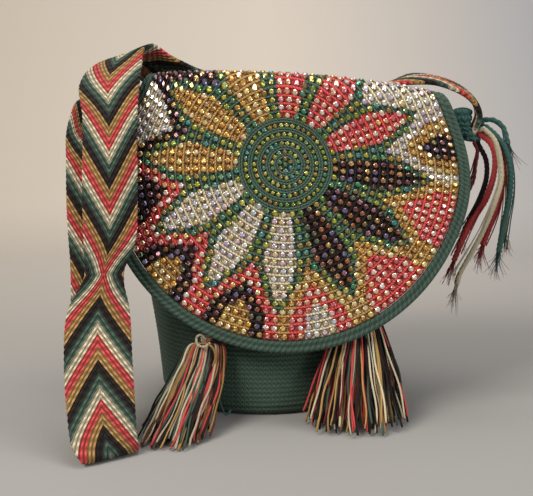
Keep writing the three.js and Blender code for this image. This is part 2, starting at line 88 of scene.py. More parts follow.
def make_piece(name, points, parts, material, uv=None, wrap=1.0, values=None, face_values=None, smooth=True):
    """A mesh object from points in mm and a list of face arrays. uv and values are per point, and
    face_values per face. Points that no face uses are left out."""
    parts = [np.asarray(part) for part in parts if len(part)]
    counts = np.concatenate([np.full(len(part), part.shape[1]) for part in parts])
    loops = np.concatenate([part.reshape(-1) for part in parts])
    used, corners = np.unique(loops, return_inverse=True)
    mesh = bpy.data.meshes.new(name)
    mesh.vertices.add(len(used))
    mesh.vertices.foreach_set("co", (np.asarray(points)[used] * MM).astype(np.float32).reshape(-1))
    mesh.loops.add(len(loops))
    mesh.loops.foreach_set("vertex_index", corners.astype(np.int32))
    mesh.polygons.add(len(counts))
    mesh.polygons.foreach_set("loop_start", (np.cumsum(counts) - counts).astype(np.int32))
    mesh.polygons.foreach_set("use_smooth", np.full(len(counts), smooth))
    if uv is not None:
        corner_uv = np.concatenate([unwrapped(uv, part, wrap) for part in parts])
        mesh.uv_layers.new(name="UVMap").data.foreach_set("uv", corner_uv.astype(np.float32).reshape(-1))
    for key, value in (values or {}).items():
        add_values(mesh, key, np.asarray(value)[used], "POINT")
    for key, value in (face_values or {}).items():
        add_values(mesh, key, np.repeat(value, counts, axis=0), "CORNER")
    mesh.update(calc_edges=True)
    mesh.materials.append(material)
    piece = bpy.data.objects.new(name, mesh)
    bpy.context.scene.collection.objects.link(piece)
    print(name, "triangles:", int((counts - 2).sum()))
    return piece


def add_values(mesh, key, value, domain):
    """A named value on the mesh: a colour where the array has three columns, else a plain number."""
    if value.ndim == 2:
        value = np.hstack([value, np.ones((len(value), 1))])
        layer = mesh.attributes.new(key, "FLOAT_COLOR", domain).data
        layer.foreach_set("color", value.astype(np.float32).reshape(-1))
    else:
        mesh.attributes.new(key, "FLOAT", domain).data.foreach_set("value", value.astype(np.float32))


def slab(front, back, keep=None, closed=False, pole=False):
    """A thick sheet from two grids of the same shape: the front's cells, the back's cells turned over,
    and a wall along every kept cell that has no kept neighbour. With a pole, the first row is closed
    by a fan of triangles instead. Returns points, quads and triangles."""
    rows, columns, _ = front.shape
    cells = columns if closed else columns - 1
    keep = np.ones((rows - 1, cells), bool) if keep is None else keep
    number = np.arange(rows * columns).reshape(rows, columns)
    i, j = np.nonzero(keep)
    k = (j + 1) % columns
    corners = number[i, j], number[i, k], number[i + 1, k], number[i + 1, j]
    shift = rows * columns
    quads = [np.stack(corners, 1), np.stack(corners[::-1], 1) + shift]
    for edge, (step_i, step_j) in enumerate(((-1, 0), (0, 1), (1, 0), (0, -1))):
        near_i = i + step_i
        near_j = (j + step_j) % cells if closed else j + step_j
        inside = (near_i >= 0) & (near_i < rows - 1) & (near_j >= 0) & (near_j < cells)
        bare = ~inside
        bare[inside] = ~keep[near_i[inside], near_j[inside]]
        if pole and edge == 0:
            bare &= i > 0
        p, q = corners[edge][bare], corners[(edge + 1) % 4][bare]
        quads.append(np.stack([q, p, p + shift, q + shift], 1))
    points = np.concatenate([front.reshape(-1, 3), back.reshape(-1, 3)])
    tris = np.zeros((0, 3), int)
    if pole:
        points = np.vstack([points, front[0].mean(axis=0), back[0].mean(axis=0)])
        a = np.arange(columns)
        b = (a + 1) % columns
        tip = np.full(columns, 2 * shift)
        tris = np.vstack([np.stack([tip, b, a], 1), np.stack([tip + 1, a + shift, b + shift], 1)])
    return points, np.concatenate(quads), tris


def catmull(points, at):
    """Places on a smooth curve through the points, at fractions of the point numbers. Each span is a
    cubic whose end slopes come from its neighbours, weighed by the square root of their distances."""
    p = np.asarray(points, float)
    p = np.vstack([2 * p[0] - p[1], p, 2 * p[-1] - p[-2]])
    k = np.clip(np.floor(at).astype(int), 0, len(p) - 4)
    w = (at - k)[:, None]
    a, b, c, d = p[k], p[k + 1], p[k + 2], p[k + 3]
    ab, bc, cd = (np.sqrt(np.linalg.norm(y - x, axis=1, keepdims=True)) for x, y in ((a, b), (b, c), (c, d)))
    start = ((b - a) / ab - (c - a) / (ab + bc) + (c - b) / bc) * bc
    end = ((c - b) / bc - (d - b) / (bc + cd) + (d - c) / cd) * bc
    return b + start * w + (3 * (c - b) - 2 * start - end) * w**2 + (2 * (b - c) + start + end) * w**3


def run_along(path):
    """Length run at each point of a path: the sum of the gaps so far."""
    return np.concatenate([[0], np.cumsum(np.linalg.norm(np.diff(path, axis=0), axis=1))])


def even_path(points, spacing):
    """The smooth curve through the points, sampled at equal lengths of about spacing."""
    fine = catmull(points, np.linspace(0, len(points) - 1, 40 * len(points)))
    run = run_along(fine)
    at = np.linspace(0, run[-1], max(3, int(round(run[-1] / spacing)) + 1))
    return np.stack([np.interp(at, run, fine[:, axis]) for axis in range(3)], axis=1)


def unit(vectors):
    """Vectors over their own lengths."""
    return vectors / np.maximum(np.linalg.norm(vectors, axis=-1, keepdims=True), 1e-12)


def tubes(paths, radius, sides=6, lean=(0.31, 0.42, 0.85)):
    """Closed tubes along many paths at once: paths is tubes by steps by 3, and radius broadcasts to tubes
    by steps by sides. Each ring is path + radius * (cos * side + sin * up), square to the path, where
    side is the path's way crossed with the lean. UV is the share of the turn and the length in mm."""
    paths = np.asarray(paths, float)
    count, steps, _ = paths.shape
    along = unit(np.gradient(paths, axis=1))
    side = unit(np.cross(along, np.asarray(lean, float)))
    up = np.cross(along, side)
    turn = np.arange(sides) / sides
    cosine, sine = np.cos(TAU * turn)[:, None], np.sin(TAU * turn)[:, None]
    ring = side[:, :, None] * cosine + up[:, :, None] * sine
    radius = np.broadcast_to(radius, (count, steps, sides))[..., None]
    rings = (paths[:, :, None] + radius * ring).reshape(count, -1, 3)
    points = np.concatenate([rings, paths[:, :1], paths[:, -1:]], axis=1)
    j = np.arange(sides)
    k = (j + 1) % sides
    i = np.arange(steps - 1)[:, None] * sides
    quads = np.stack([i + j, i + k, i + sides + k, i + sides + j], axis=-1).reshape(-1, 4)
    first = np.stack([np.full(sides, steps * sides), k, j], axis=1)
    top = (steps - 1) * sides
    last = np.stack([np.full(sides, steps * sides + 1), top + j, top + k], axis=1)
    shift = (np.arange(count) * (steps * sides + 2))[:, None, None]
    gaps = np.linalg.norm(np.diff(paths, axis=1), axis=2)
    run = np.concatenate([np.zeros((count, 1)), np.cumsum(gaps, axis=1)], axis=1)
    uv = grid(turn, run[..., None]).reshape(count, -1, 2)
    uv = np.concatenate([uv, uv[:, :1], uv[:, -1:]], axis=1)
    parts = [(quads + shift).reshape(-1, 4), (np.vstack([first, last]) + shift).reshape(-1, 3)]
    return points.reshape(-1, 3), parts, uv.reshape(-1, 2), steps * sides + 2


def wave(points, scale, seed):
    """A smooth uneven value from -1 to 1: the mean of five sine waves of one length in odd directions."""
    ways = unit(np.random.default_rng(seed).normal(size=(5, 3)))
    return np.sin(np.asarray(points) @ ways.T * (TAU / scale) + np.arange(5) * 1.7).mean(axis=-1)


def loop_quads(steps, sides):
    """Faces of a tube that closes on itself: steps rings of the same number of sides, the last ring
    joined to the first."""
    i = np.arange(steps)[:, None] * sides
    j = np.arange(sides)
    k = (j + 1) % sides
    after = (i + sides) % (steps * sides)
    return np.stack([i + j, after + j, after + k, i + k], axis=-1).reshape(-1, 4)[:, ::-1]


def grid(*axes):
    """Places of a grid, from one array per axis; rows and columns spread over each other."""
    return np.stack(np.broadcast_arrays(*axes), axis=-1)


def grid_uv(u, v):
    """UV of a grid's points, one row per point."""
    return grid(u, v).reshape(-1, 2)


def tube_piece(name, material, paths, radius, sides=6, **lean):
    """A piece that is one or many tubes."""
    points, parts, uv, _ = tubes(paths, radius, sides, **lean)
    return make_piece(name, points, parts, material, uv)


def smoothstep(value, low, high):
    """0 below low and 1 above high, and between them the share s as 3 s^2 - 2 s^3."""
    share = np.clip((value - low) / (high - low), 0, 1)
    return share * share * (3 - 2 * share)


def stand_for(piece, slot, *nodes):
    """Fixes the piece to the bag's one body, does not use its slot, and hides the CAD nodes that it
    replaces."""
    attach(piece, "root")
    if nodes:
        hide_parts(*nodes)
    return piece


# %% [markdown]
# ## Yarn colours
# The bag is worked from nine yarns. Colours are written as seen on screen and turned to linear light once,
# because the shader adds light, not screen values.

# %% Yarn colours


def linear(colour):
    """Linear light of a screen colour given as hex: a power of 2.4 with a short straight foot."""
    value = np.array([int(colour[i : i + 2], 16) for i in (1, 3, 5)]) / 255
    return np.where(value <= 0.04045, value / 12.92, ((value + 0.055) / 1.055) ** 2.4)


YARN = {
    "green": linear("#4a6152"),
    "edging": linear("#43584c"),
    "teal": linear("#3a655e"),
    "tan": linear("#b68c52"),
    "coral": linear("#d54d4b"),
    "cream": linear("#d6c8a8"),
    "brown": linear("#221712"),
    "maroon": linear("#6e1a28"),
    "rust": linear("#8d4a2e"),
}

# %% [markdown]
# ## Yarn as a material
# Cotton yarn is matt with a faint halo of fibres. Its colour wanders a little along each strand, and shade is
# painted into the colour in the grooves between plies and stitches. One function finishes every yarn; what
# differs from piece to piece is only the colour and the relief, a height from 0 in the grooves to 1 on the
# crests.

# %% Shader tools
FINE_GRAIN = 300
SLOW_GRAIN = 34
FUZZ_GRAIN = 2400


class Nodes:
    """A short hand for shader nodes: each call adds a node, plugs its inputs and returns its output. The
    grains above are grains of noise per metre."""

    def __init__(self, name):
        self.material = bpy.data.materials.new(name)
        self.material.use_nodes = True
        self.tree = self.material.node_tree
        self.shader = self.tree.nodes["Principled BSDF"]

    def plug(self, socket, value):
        if isinstance(value, bpy.types.NodeSocket):
            self.tree.links.new(value, socket)
        elif isinstance(value, np.ndarray):
            socket.default_value = (*value, 1)
        else:
            socket.default_value = value

    def surface(self, values):
        """Sets inputs of the surface shader by name."""
        for key, value in values.items():
            self.plug(self.shader.inputs[key], value)

    def math(self, operation, *values, clamp=False):
        node = self.tree.nodes.new("ShaderNodeMath")
        node.operation = operation
        node.use_clamp = clamp
        for socket, value in zip(node.inputs, values, strict=False):
            self.plug(socket, value)
        return node.outputs[0]

    def attribute(self, name, output="Fac"):
        node = self.tree.nodes.new("ShaderNodeAttribute")
        node.attribute_name = name
        return node.outputs[output]

    def place(self, kind):
        """The three numbers of a place, in the UV map or in the object's metres."""
        place = self.tree.nodes.new("ShaderNodeTexCoord")
        split = self.tree.nodes.new("ShaderNodeSeparateXYZ")
        self.tree.links.new(place.outputs[kind], split.inputs[0])
        return tuple(split.outputs)

    def uv(self):
        return self.place("UV")[:2]

    def noise(self, scale, detail=2.0):
        place = self.tree.nodes.new("ShaderNodeTexCoord")
        node = self.tree.nodes.new("ShaderNodeTexNoise")
        self.tree.links.new(place.outputs["Object"], node.inputs["Vector"])
        node.inputs["Scale"].default_value = scale
        node.inputs["Detail"].default_value = detail
        return node.outputs["Fac"]

    def steps(self, factor, colours):
        """Even bands of fixed colours along a factor that runs from 0 to 1."""
        node = self.tree.nodes.new("ShaderNodeValToRGB")
        ramp = node.color_ramp
        ramp.interpolation = "CONSTANT"
        while len(ramp.elements) < len(colours):
            ramp.elements.new(0.5)
        for index, colour in enumerate(colours):
            ramp.elements[index].position = index / len(colours)
            ramp.elements[index].color = (*colour, 1)
        self.plug(node.inputs["Fac"], factor)
        return node.outputs["Color"]

    def mix(self, factor, a, b, blend="MIX"):
        node = self.tree.nodes.new("ShaderNodeMix")
        node.data_type = "RGBA"
        node.blend_type = blend
        for number, value in ((0, factor), (6, a), (7, b)):
            self.plug(node.inputs[number], value)
        return node.outputs[2]

    def stripes(self, phase):
        """Rounded stripes from 0 in the grooves to 1 on the crests: half of one plus the cosine."""
        return self.math("MULTIPLY_ADD", self.math("COSINE", self.math("MULTIPLY", phase, TAU)), 0.5, 0.5)

    def finish_yarn(self, colour, height, depth, groove_shade=0.45, tone=0.35):
        """Yarn finish: shade is painted into the colour in the grooves of the height, and the colour wanders
        with fine and slow noise. The relief is the height plus a little fuzz, depth metres deep."""
        fine = self.math("MULTIPLY_ADD", self.noise(FINE_GRAIN, 4), tone, 1 - tone / 2)
        slow = self.math("MULTIPLY_ADD", self.noise(SLOW_GRAIN, 2), tone, 1 - tone / 2)
        # painted shade: the colour is darkened in the grooves, by up to groove_shade where the height is 0
        painted_groove_shade = self.math("MULTIPLY_ADD", height, groove_shade, 1 - groove_shade)
        value = self.math("MULTIPLY", self.math("MULTIPLY", fine, slow), painted_groove_shade)
        grey = self.tree.nodes.new("ShaderNodeCombineColor")
        for socket in grey.inputs[:3]:
            self.tree.links.new(value, socket)
        bump = self.tree.nodes.new("ShaderNodeBump")
        bump.inputs["Distance"].default_value = depth
        self.plug(bump.inputs["Height"], self.math("MULTIPLY_ADD", self.noise(FUZZ_GRAIN, 2), 0.25, height))
        self.surface({
            "Base Color": self.mix(1.0, colour, grey.outputs[0], "MULTIPLY"), "Roughness": 0.88,
            "Specular IOR Level": 0.2, "Sheen Weight": 0.06, "Sheen Roughness": 0.5,
            "Normal": bump.outputs["Normal"],
        })
        return self.material


def twisted_yarn(name, plies=3, lay=6.0, depth=0.0004, colour=None):
    """Yarn on a tube: its plies are stripes of plies times the turn plus the length over the lay in mm.
    The colour is one yarn's, or else the value on the points named colour."""
    nodes = Nodes(name)
    u, v = nodes.uv()
    phase = nodes.math("MULTIPLY_ADD", u, float(plies), nodes.math("DIVIDE", v, lay / plies))
    shown = nodes.attribute("colour", "Color") if colour is None else YARN[colour]
    return nodes.finish_yarn(shown, nodes.stripes(phase), depth)


def strand_yarn(colour):
    """The material of a plain strand in a yarn's colour, made at its first use."""
    name = colour + "_strand"
    return bpy.data.materials.get(name) or twisted_yarn(name, 3, 3.0, 0.0007, colour)


print("yarns:", ", ".join(YARN))

# %% [markdown]
# ## The yarn ends
# The strap's warp yarns come out of its end in bundles and hang loose beside the bag. Each bundle is
# several plies laid round each other, and its end frays into single fibres. A bundle is one tube whose
# section has as many lobes as plies, turned along the length; that reads as twist at a fraction of the
# faces that separate plies would take. A few thin plies have worked loose along it, and a short root runs
# back from its exit into the sewn tab.

# %% Yarn ends: routes in metres, as the CAD lays them
TAILS = {
    "tail_green_long": ("teal", 0.0042, 3, [
        (0.176, -0.009, 0.216), (0.184, -0.013, 0.209), (0.191, -0.017, 0.199), (0.195, -0.02, 0.185),
        (0.195, -0.023, 0.165), (0.191, -0.025, 0.142), (0.187, -0.027, 0.118),
    ]),
    "tail_green_short": ("teal", 0.0036, 2, [
        (0.176, -0.003, 0.2205), (0.1845, -0.004, 0.22), (0.191, -0.006, 0.215), (0.195, -0.01, 0.2015),
    ]),
    "tail_cream": ("cream", 0.0036, 3, [
        (0.175, -0.013, 0.214), (0.182, -0.02, 0.206), (0.186, -0.025, 0.192), (0.1865, -0.03, 0.176),
        (0.181, -0.035, 0.158), (0.173, -0.037, 0.138), (0.164, -0.038, 0.12), (0.155, -0.037, 0.102),
        (0.153, -0.037, 0.094),
    ]),
    "tail_coral_left": ("coral", 0.004, 3, [
        (0.173, -0.01, 0.209), (0.18, -0.013, 0.203), (0.183, -0.0175, 0.194), (0.182, -0.022, 0.178),
        (0.176, -0.0255, 0.16), (0.167, -0.028, 0.146), (0.158, -0.032, 0.13), (0.151, -0.032, 0.112),
    ]),
    "tail_coral_right": ("coral", 0.004, 3, [
        (0.1755, -0.006, 0.213), (0.184, -0.009, 0.208), (0.19, -0.012, 0.197), (0.1905, -0.016, 0.176),
        (0.185, -0.018, 0.15), (0.176, -0.018, 0.122),
    ]),
    "tail_brown": ("brown", 0.0036, 3, [
        (0.172, -0.009, 0.2005), (0.177, -0.013, 0.19), (0.177, -0.018, 0.175), (0.171, -0.022, 0.158),
        (0.165, -0.024, 0.146), (0.16, -0.024, 0.136),
    ]),
    "tail_maroon": ("maroon", 0.0024, 2, [
        (0.167, -0.016, 0.203), (0.1695, -0.017, 0.197), (0.168, -0.02, 0.186), (0.166, -0.023, 0.174),
        (0.16, -0.025, 0.162), (0.155, -0.026, 0.152),
    ]),
    "tail_tan": ("tan", 0.0024, 2, [
        (0.1745, 0.002, 0.212), (0.183, -0.002, 0.205), (0.191, -0.007, 0.195), (0.195, -0.013, 0.172),
        (0.195, -0.016, 0.15), (0.194, -0.017, 0.134),
    ]),
}
TWIST_LAY = 11.0
TAIL_ROOT = np.array([168.0, -6.0, 211.0])


def rope(name, path, radius, plies, material, lay=TWIST_LAY, sides=18):
    """A twisted rope: the radius swells by a seventh on each ply, and the lobes turn once round per lay."""
    run = run_along(path)
    turn = np.arange(sides) / sides * TAU
    lobes = 1.06 + 0.14 * np.cos(plies * (turn[None, :] + run[:, None] * TAU / lay))
    return tube_piece(name, material, path[None], radius * lobes[None], sides)


def fray(name, path, radius, material, count=36, reach=21.0, seed=1):
    """Loose fibres past the end of a path: each leaves the cut at a random place and drifts outwards by
    the square of its share, so the end opens like a brush."""
    rng = np.random.default_rng(seed)
    way = unit(path[-1] - path[-4])
    start = path[-1] + rng.uniform(-0.6, 0.6, (count, 3)) * radius - way * 2
    drift = unit(way + rng.normal(0, 0.28, (count, 3)))
    share = np.linspace(0, 1, 8)[None, :, None]
    length = reach * rng.uniform(0.45, 1, (count, 1, 1))
    droop = np.array([0, 0, -1.0]) * share**2 * length * 0.25
    curl = rng.normal(0, 0.9, (count, 1, 3)) * np.sin(share * 5 + rng.uniform(0, 6, (count, 1, 1)))
    course = way * (1 - share) + drift[:, None] * share
    paths = start[:, None] + length * share * course + droop + curl * share
    return tube_piece(name, material, paths, np.linspace(0.32, 0.1, 8)[None, :, None], 4)


def wisps(name, path, material, seed, count=4):
    """Thin plies that have worked loose from a bundle. Each follows the bundle's path and drifts away from
    it by a random way times the share of the length to the power 0.8, with a slow sway."""
    rng = np.random.default_rng(seed + 90)
    core = path[::5]
    share = np.linspace(0, 1, len(core))[None, :, None]
    drift = rng.normal(0, 3.0, (count, 1, 3)) * share**0.8
    sway = rng.normal(0, 1.2, (count, 1, 3)) * np.sin(share * rng.uniform(4, 9, (count, 1, 1))) * share
    return tube_piece(name, material, core[None] + drift + sway, 0.5)


for order, (name, (colour, diameter, plies, route)) in enumerate(TAILS.items()):
    path = even_path(np.array(route) / MM, 0.8)
    way_back = TAIL_ROOT - path[0]
    root_path = path[0] + way_back * np.linspace(0.75, -0.06, 12)[:, None]
    yarn = strand_yarn(colour)
    tail = rope(name + "_rope", path, diameter / 2 / MM, plies, yarn)
    root = rope(name + "_root", root_path, diameter / 2 / MM, plies, yarn)
    end = fray(name + "_fray", path, diameter / 2 / MM, yarn, seed=order)
    loose = wisps(name + "_wisps", path, yarn, order)
    stand_for(tail, colour + "_yarn", name)
    for extra in (end, root, loose):
        stand_for(extra, colour + "_yarn")

# %% [markdown]
# ## The shapes that everything sits on
# The bucket is round at the base and flattened at the mouth, and its mouth sags to the right. The flap is
# a flat disc that leans on the front, bends back over a small radius and lies on the rim. Both are plain
# formulas, so stitches, stones and cords can all be placed by the same two functions.

# %% Bucket and flap surfaces, in mm
BODY_HEIGHT = 243.0
BODY_WALL = 3.5
BASE_RADIUS = 80.0
BASE_CORNER = 8.0
RIM_HALF_WIDTH = 137
RIM_HALF_DEPTH = 31
RIM_SHIFT = (13, -2)
SAG_SLOPE = -0.055
SAG_BEND = -0.0006
FLAP_RADIUS = 140.0
FLAP_THICK = 4.0
FLAP_CENTRE = (18.0, -62.0, 190.0)
FLAP_LEAN = math.radians(14)
FOLD_RADIUS = 12.0
FOLD_Z = 241.0
FOLD_START = (FOLD_Z + FOLD_RADIUS * math.sin(FLAP_LEAN) - FLAP_CENTRE[2]) / math.cos(FLAP_LEAN)
FOLD_Y = FLAP_CENTRE[1] + FOLD_START * math.sin(FLAP_LEAN) + FOLD_RADIUS * math.cos(FLAP_LEAN)
FOLD_DIP = math.radians(24)
FOLD_TURN = math.pi / 2 + FOLD_DIP - FLAP_LEAN
FOLD_END = FOLD_START + FOLD_RADIUS * FOLD_TURN
BACK_LENGTH = FLAP_RADIUS - FOLD_END
BACK_DROP = FOLD_Z + FOLD_RADIUS * math.cos(FOLD_DIP) - (BODY_HEIGHT + 2.8)
BACK_RADIUS = BACK_LENGTH / (2 * (FOLD_DIP - math.asin(BACK_DROP / BACK_LENGTH)))
SIDE_CURL = 8.0
GATHER = 0.14


def sag(x):
    """How far the mouth hangs below level: a slope to the right plus a shallow bow."""
    offset = x - FLAP_CENTRE[0]
    return SAG_SLOPE * offset + SAG_BEND * offset**2


def body_axes(z):
    """Half width, half depth and middle of the bucket at a height, each a power of the height's share,
    and the share of the mouth's sag that the height takes."""
    share = np.maximum(z, 0) / BODY_HEIGHT
    half_x = BASE_RADIUS + (RIM_HALF_WIDTH - BASE_RADIUS) * share**1.35
    half_y = BASE_RADIUS + (RIM_HALF_DEPTH - BASE_RADIUS) * share**2.1
    return half_x, half_y, RIM_SHIFT[0] * share**1.3, RIM_SHIFT[1] * share, share**4


def body_point(z, angle, out):
    """Ellipse of the bucket at a height, moved out by a distance, with the mouth's sag added near the top."""
    half_x, half_y, x, y, share = body_axes(z)
    px = x + (half_x + out) * np.cos(angle)
    py = y + (half_y + out) * np.sin(angle)
    return grid(px, py, z + share * sag(px))


def flap_point(u, v, height):
    """Flap surface: u to the right and v up from the disc's middle, height square to it. Up to the fold
    the disc leans, over the fold it follows a circle, and past it a wide arc the other way, which dips
    and lands on the back rim. Its upper left is gathered in towards the middle by up to a seventh."""
    turn = np.clip((v - FOLD_START) / FOLD_RADIUS, 0, FOLD_TURN)
    angle = FLAP_LEAN + turn
    straight = np.minimum(v - FOLD_START, 0)
    radius = FOLD_RADIUS + height
    back_angle = angle - np.maximum(v - FOLD_END, 0) / BACK_RADIUS
    back = BACK_RADIUS - height
    y = FOLD_Y - radius * np.cos(angle) + straight * np.sin(angle)
    z = FOLD_Z + radius * np.sin(angle) + straight * np.cos(angle)
    y = y + back * (np.cos(back_angle) - np.cos(angle))
    z = z + back * (np.sin(angle) - np.sin(back_angle))
    left = smoothstep(-u, 0.43 * FLAP_RADIUS, 0.93 * FLAP_RADIUS)
    x = FLAP_CENTRE[0] + u * (1 - GATHER * left * smoothstep(v, 0, FLAP_RADIUS / 2))
    y = y + (1 - smoothstep(v, FOLD_START, FOLD_END)) * SIDE_CURL * (u / FLAP_RADIUS) ** 2
    z = z + smoothstep(v, -FLAP_RADIUS / 2, FOLD_START) * sag(x)
    return grid(x, y, z)


def flap_polar(radius, angle, height):
    """The flap's surface by distance from the disc's middle and angle."""
    return flap_point(radius * np.cos(angle), radius * np.sin(angle), height)


print("flap top z:", round(float(flap_point(0.0, FOLD_START + 12, 4.0)[2]), 1), "mm")

# %% [markdown]
# ## Crochet stitches
# Single crochet worked in the round shows as rows of small Vs. Each row is a rounded rib in the mesh, so
# the outline is ribbed too; the V of each stitch is relief in the material, found from a stitch count
# round the piece and a row count up it. The arms of a V rise from its middle to both sides.

# %% Crochet material


def crochet(name, colour, stitches=None, depth=0.0007, steepness=0.55):
    """Rows of Vs. With u in stitches and v in rows, a is 0 at the stitch's middle and 1 at its sides, and
    the height is a stripe along v - steepness * a, sunk where a is near 0 or 1. Without a count of
    stitches, u is a share of the turn and each row of v finds its own count, one stitch per 4 mm."""
    nodes = Nodes(name)
    u, v = nodes.uv()
    if stitches is None:
        row = nodes.math("ADD", nodes.math("FLOOR", v), 0.5)
        u = nodes.math("MULTIPLY", u, nodes.math("ROUND", nodes.math("MULTIPLY", row, STITCH_GROWTH)))
    else:
        u = nodes.math("MULTIPLY", u, float(stitches))
    a = nodes.math("ABSOLUTE", nodes.math("MULTIPLY_ADD", nodes.math("FRACT", u), 2.0, -1.0))
    arm = nodes.stripes(nodes.math("SUBTRACT", v, nodes.math("MULTIPLY", a, steepness)))
    sunk = nodes.math("POWER", nodes.math("SINE", nodes.math("MULTIPLY", a, math.pi)), 0.35)
    height = nodes.math("MULTIPLY", arm, nodes.math("MAXIMUM", sunk, 0.05))
    shown = nodes.attribute("colour", "Color") if colour is None else YARN[colour]
    return nodes.finish_yarn(shown, height, depth, groove_shade=0.6)


FLAP_ROW = 3.05
STITCH_WIDTH = 4.0
STITCH_GROWTH = TAU * FLAP_ROW / STITCH_WIDTH

# %% [markdown]
# ## The bucket
# Worked from the middle of the base outwards and then up, in rows about 3.7 mm high. Twelve eyelets near
# the rim take the drawstring. The sheet has an outside and an inside grid of the same shape, so an eyelet
# is simply a group of cells left out of both, and the sheet's wall closes round it.

# %% Bucket
ROW_HEIGHT = 3.7
ROW_SAMPLES = 4
BODY_COLUMNS = 150
EYELETS = 12
EYELET_SIZE = (20.0, 9.0)
EYELET_Z = BODY_HEIGHT - 16.0


def eyelet_angle(index):
    """Eyelets stand at even angles, with the middle of the front half way between two."""
    return -math.pi / 2 + (index + 0.5) / EYELETS * TAU


def rim_reach(angle):
    """How far the rim runs per radian there: the size of the ellipse's tangent."""
    return np.hypot(RIM_HALF_WIDTH * np.sin(angle), RIM_HALF_DEPTH * np.cos(angle))


def make_bucket():
    """Outside grid: base rings, a quarter-round corner, then wall rows whose ribs follow the size of a
    sine. Inside grid: the same rings moved in by the wall's thickness."""
    base_out = np.linspace(2 - BASE_RADIUS, -BASE_CORNER, 14)[:-1]
    bend = np.linspace(0, math.pi / 2, 6)[:-1]
    rows = round((BODY_HEIGHT - BASE_CORNER) / ROW_HEIGHT)
    level = np.arange(rows * ROW_SAMPLES + 1) / ROW_SAMPLES
    wall_z = BASE_CORNER + level / rows * (BODY_HEIGHT - BASE_CORNER)
    z = np.concatenate([0 * base_out, BASE_CORNER * (1 - np.cos(bend)), wall_z])[:, None]
    out = np.concatenate([base_out, BASE_CORNER * (np.sin(bend) - 1), 0 * wall_z])[:, None]
    rib = np.concatenate([0 * base_out, 0 * bend, np.abs(np.sin(math.pi * level)) ** 0.7])[:, None]
    angle = np.arange(BODY_COLUMNS) / BODY_COLUMNS * TAU
    uneven = 0.5 * wave(body_point(z, angle, out), 55, 3)
    outside = body_point(z, angle, out + 0.75 * rib - 0.3 + uneven * (z > BASE_CORNER))
    wall_share = (wall_z - BASE_CORNER) / (BODY_HEIGHT - BASE_CORNER)
    in_z = BODY_WALL + BASE_CORNER + wall_share * (BODY_HEIGHT - BODY_WALL - BASE_CORNER)
    inner_base = -BASE_RADIUS + (BASE_RADIUS + base_out) * 0.951
    corner_z, corner_out = BASE_CORNER * (1 - np.cos(bend)), BASE_CORNER * (np.sin(bend) - 1)
    z_in = np.concatenate([0 * base_out + BODY_WALL, BODY_WALL + corner_z, in_z])[:, None]
    out_in = np.concatenate([inner_base, corner_out - BODY_WALL, 0 * wall_z - BODY_WALL])
    inside = body_point(z_in, angle, out_in[:, None] - 0.4 * rib + 0.3)
    mid_z = (z[:-1] + z[1:]) / 2
    mid_angle = angle + TAU / BODY_COLUMNS / 2
    keep = np.ones((len(z) - 1, BODY_COLUMNS), bool)
    for index in range(EYELETS):
        off = np.angle(np.exp(1j * (mid_angle - eyelet_angle(index))))
        across = rim_reach(mid_angle) * off / EYELET_SIZE[0] * 2
        keep &= across**4 + ((mid_z - EYELET_Z) / EYELET_SIZE[1] * 2) ** 4 > 1
    points, quads, tris = slab(outside, inside, keep, closed=True, pole=True)
    v = np.concatenate([BASE_RADIUS + base_out, BASE_RADIUS - BASE_CORNER + bend * 5])
    v = np.concatenate([v / ROW_HEIGHT - v[-1] / ROW_HEIGHT - 0.7, level])[:, None]
    uv = grid_uv(np.arange(BODY_COLUMNS) / BODY_COLUMNS, v)
    uv = np.vstack([uv, uv, uv[:1], uv[:1]])
    material = crochet("bucket_crochet", "green", BODY_COLUMNS, depth=0.0009, steepness=0.38)
    return make_piece("bucket", points, [quads, tris], material, uv)


stand_for(make_bucket(), "green_yarn", "bag_body")

# %% [markdown]
# ## The pattern on the flap
# A round middle, twelve pointed petals in four colours, a green outline round each petal, and nested
# triangles in the gaps. Which zone a place is in follows from its distance from the middle and from the
# nearest petal's axis, so one function colours stones, cords and ground alike.

# %% Zones of the flap
ZONES = ("green", "tan", "coral", "brown", "cream")
GREEN, TAN, CORAL, BROWN, CREAM = range(5)
PETALS = np.array([BROWN, CORAL, CORAL, CORAL, TAN, TAN, TAN, CREAM, CREAM, CREAM, BROWN, BROWN])
GAPS = np.array([
    (CREAM, TAN, BROWN), (CREAM, CREAM, CREAM), (BROWN, BROWN, BROWN), (BROWN, BROWN, BROWN),
    (BROWN, BROWN, BROWN), (BROWN, CREAM, CREAM), (CORAL, BROWN, BROWN), (CORAL, BROWN, TAN),
    (CORAL, BROWN, TAN), (TAN, CORAL, CREAM), (TAN, CORAL, CORAL), (TAN, CORAL, CORAL),
])
PETAL_TILT = math.radians(-3)
SECTOR = TAU / len(PETALS)
MIDDLE_RADIUS = 35.0
PETAL_AT = (33.7, 50, 75, 92, 105)
PETAL_HALF = (4.5, 8.6, 12.4, 6.6, 0)
WIDEST = 75
OUTLINE_TAPER = 38
LAYERS = (9, 21)


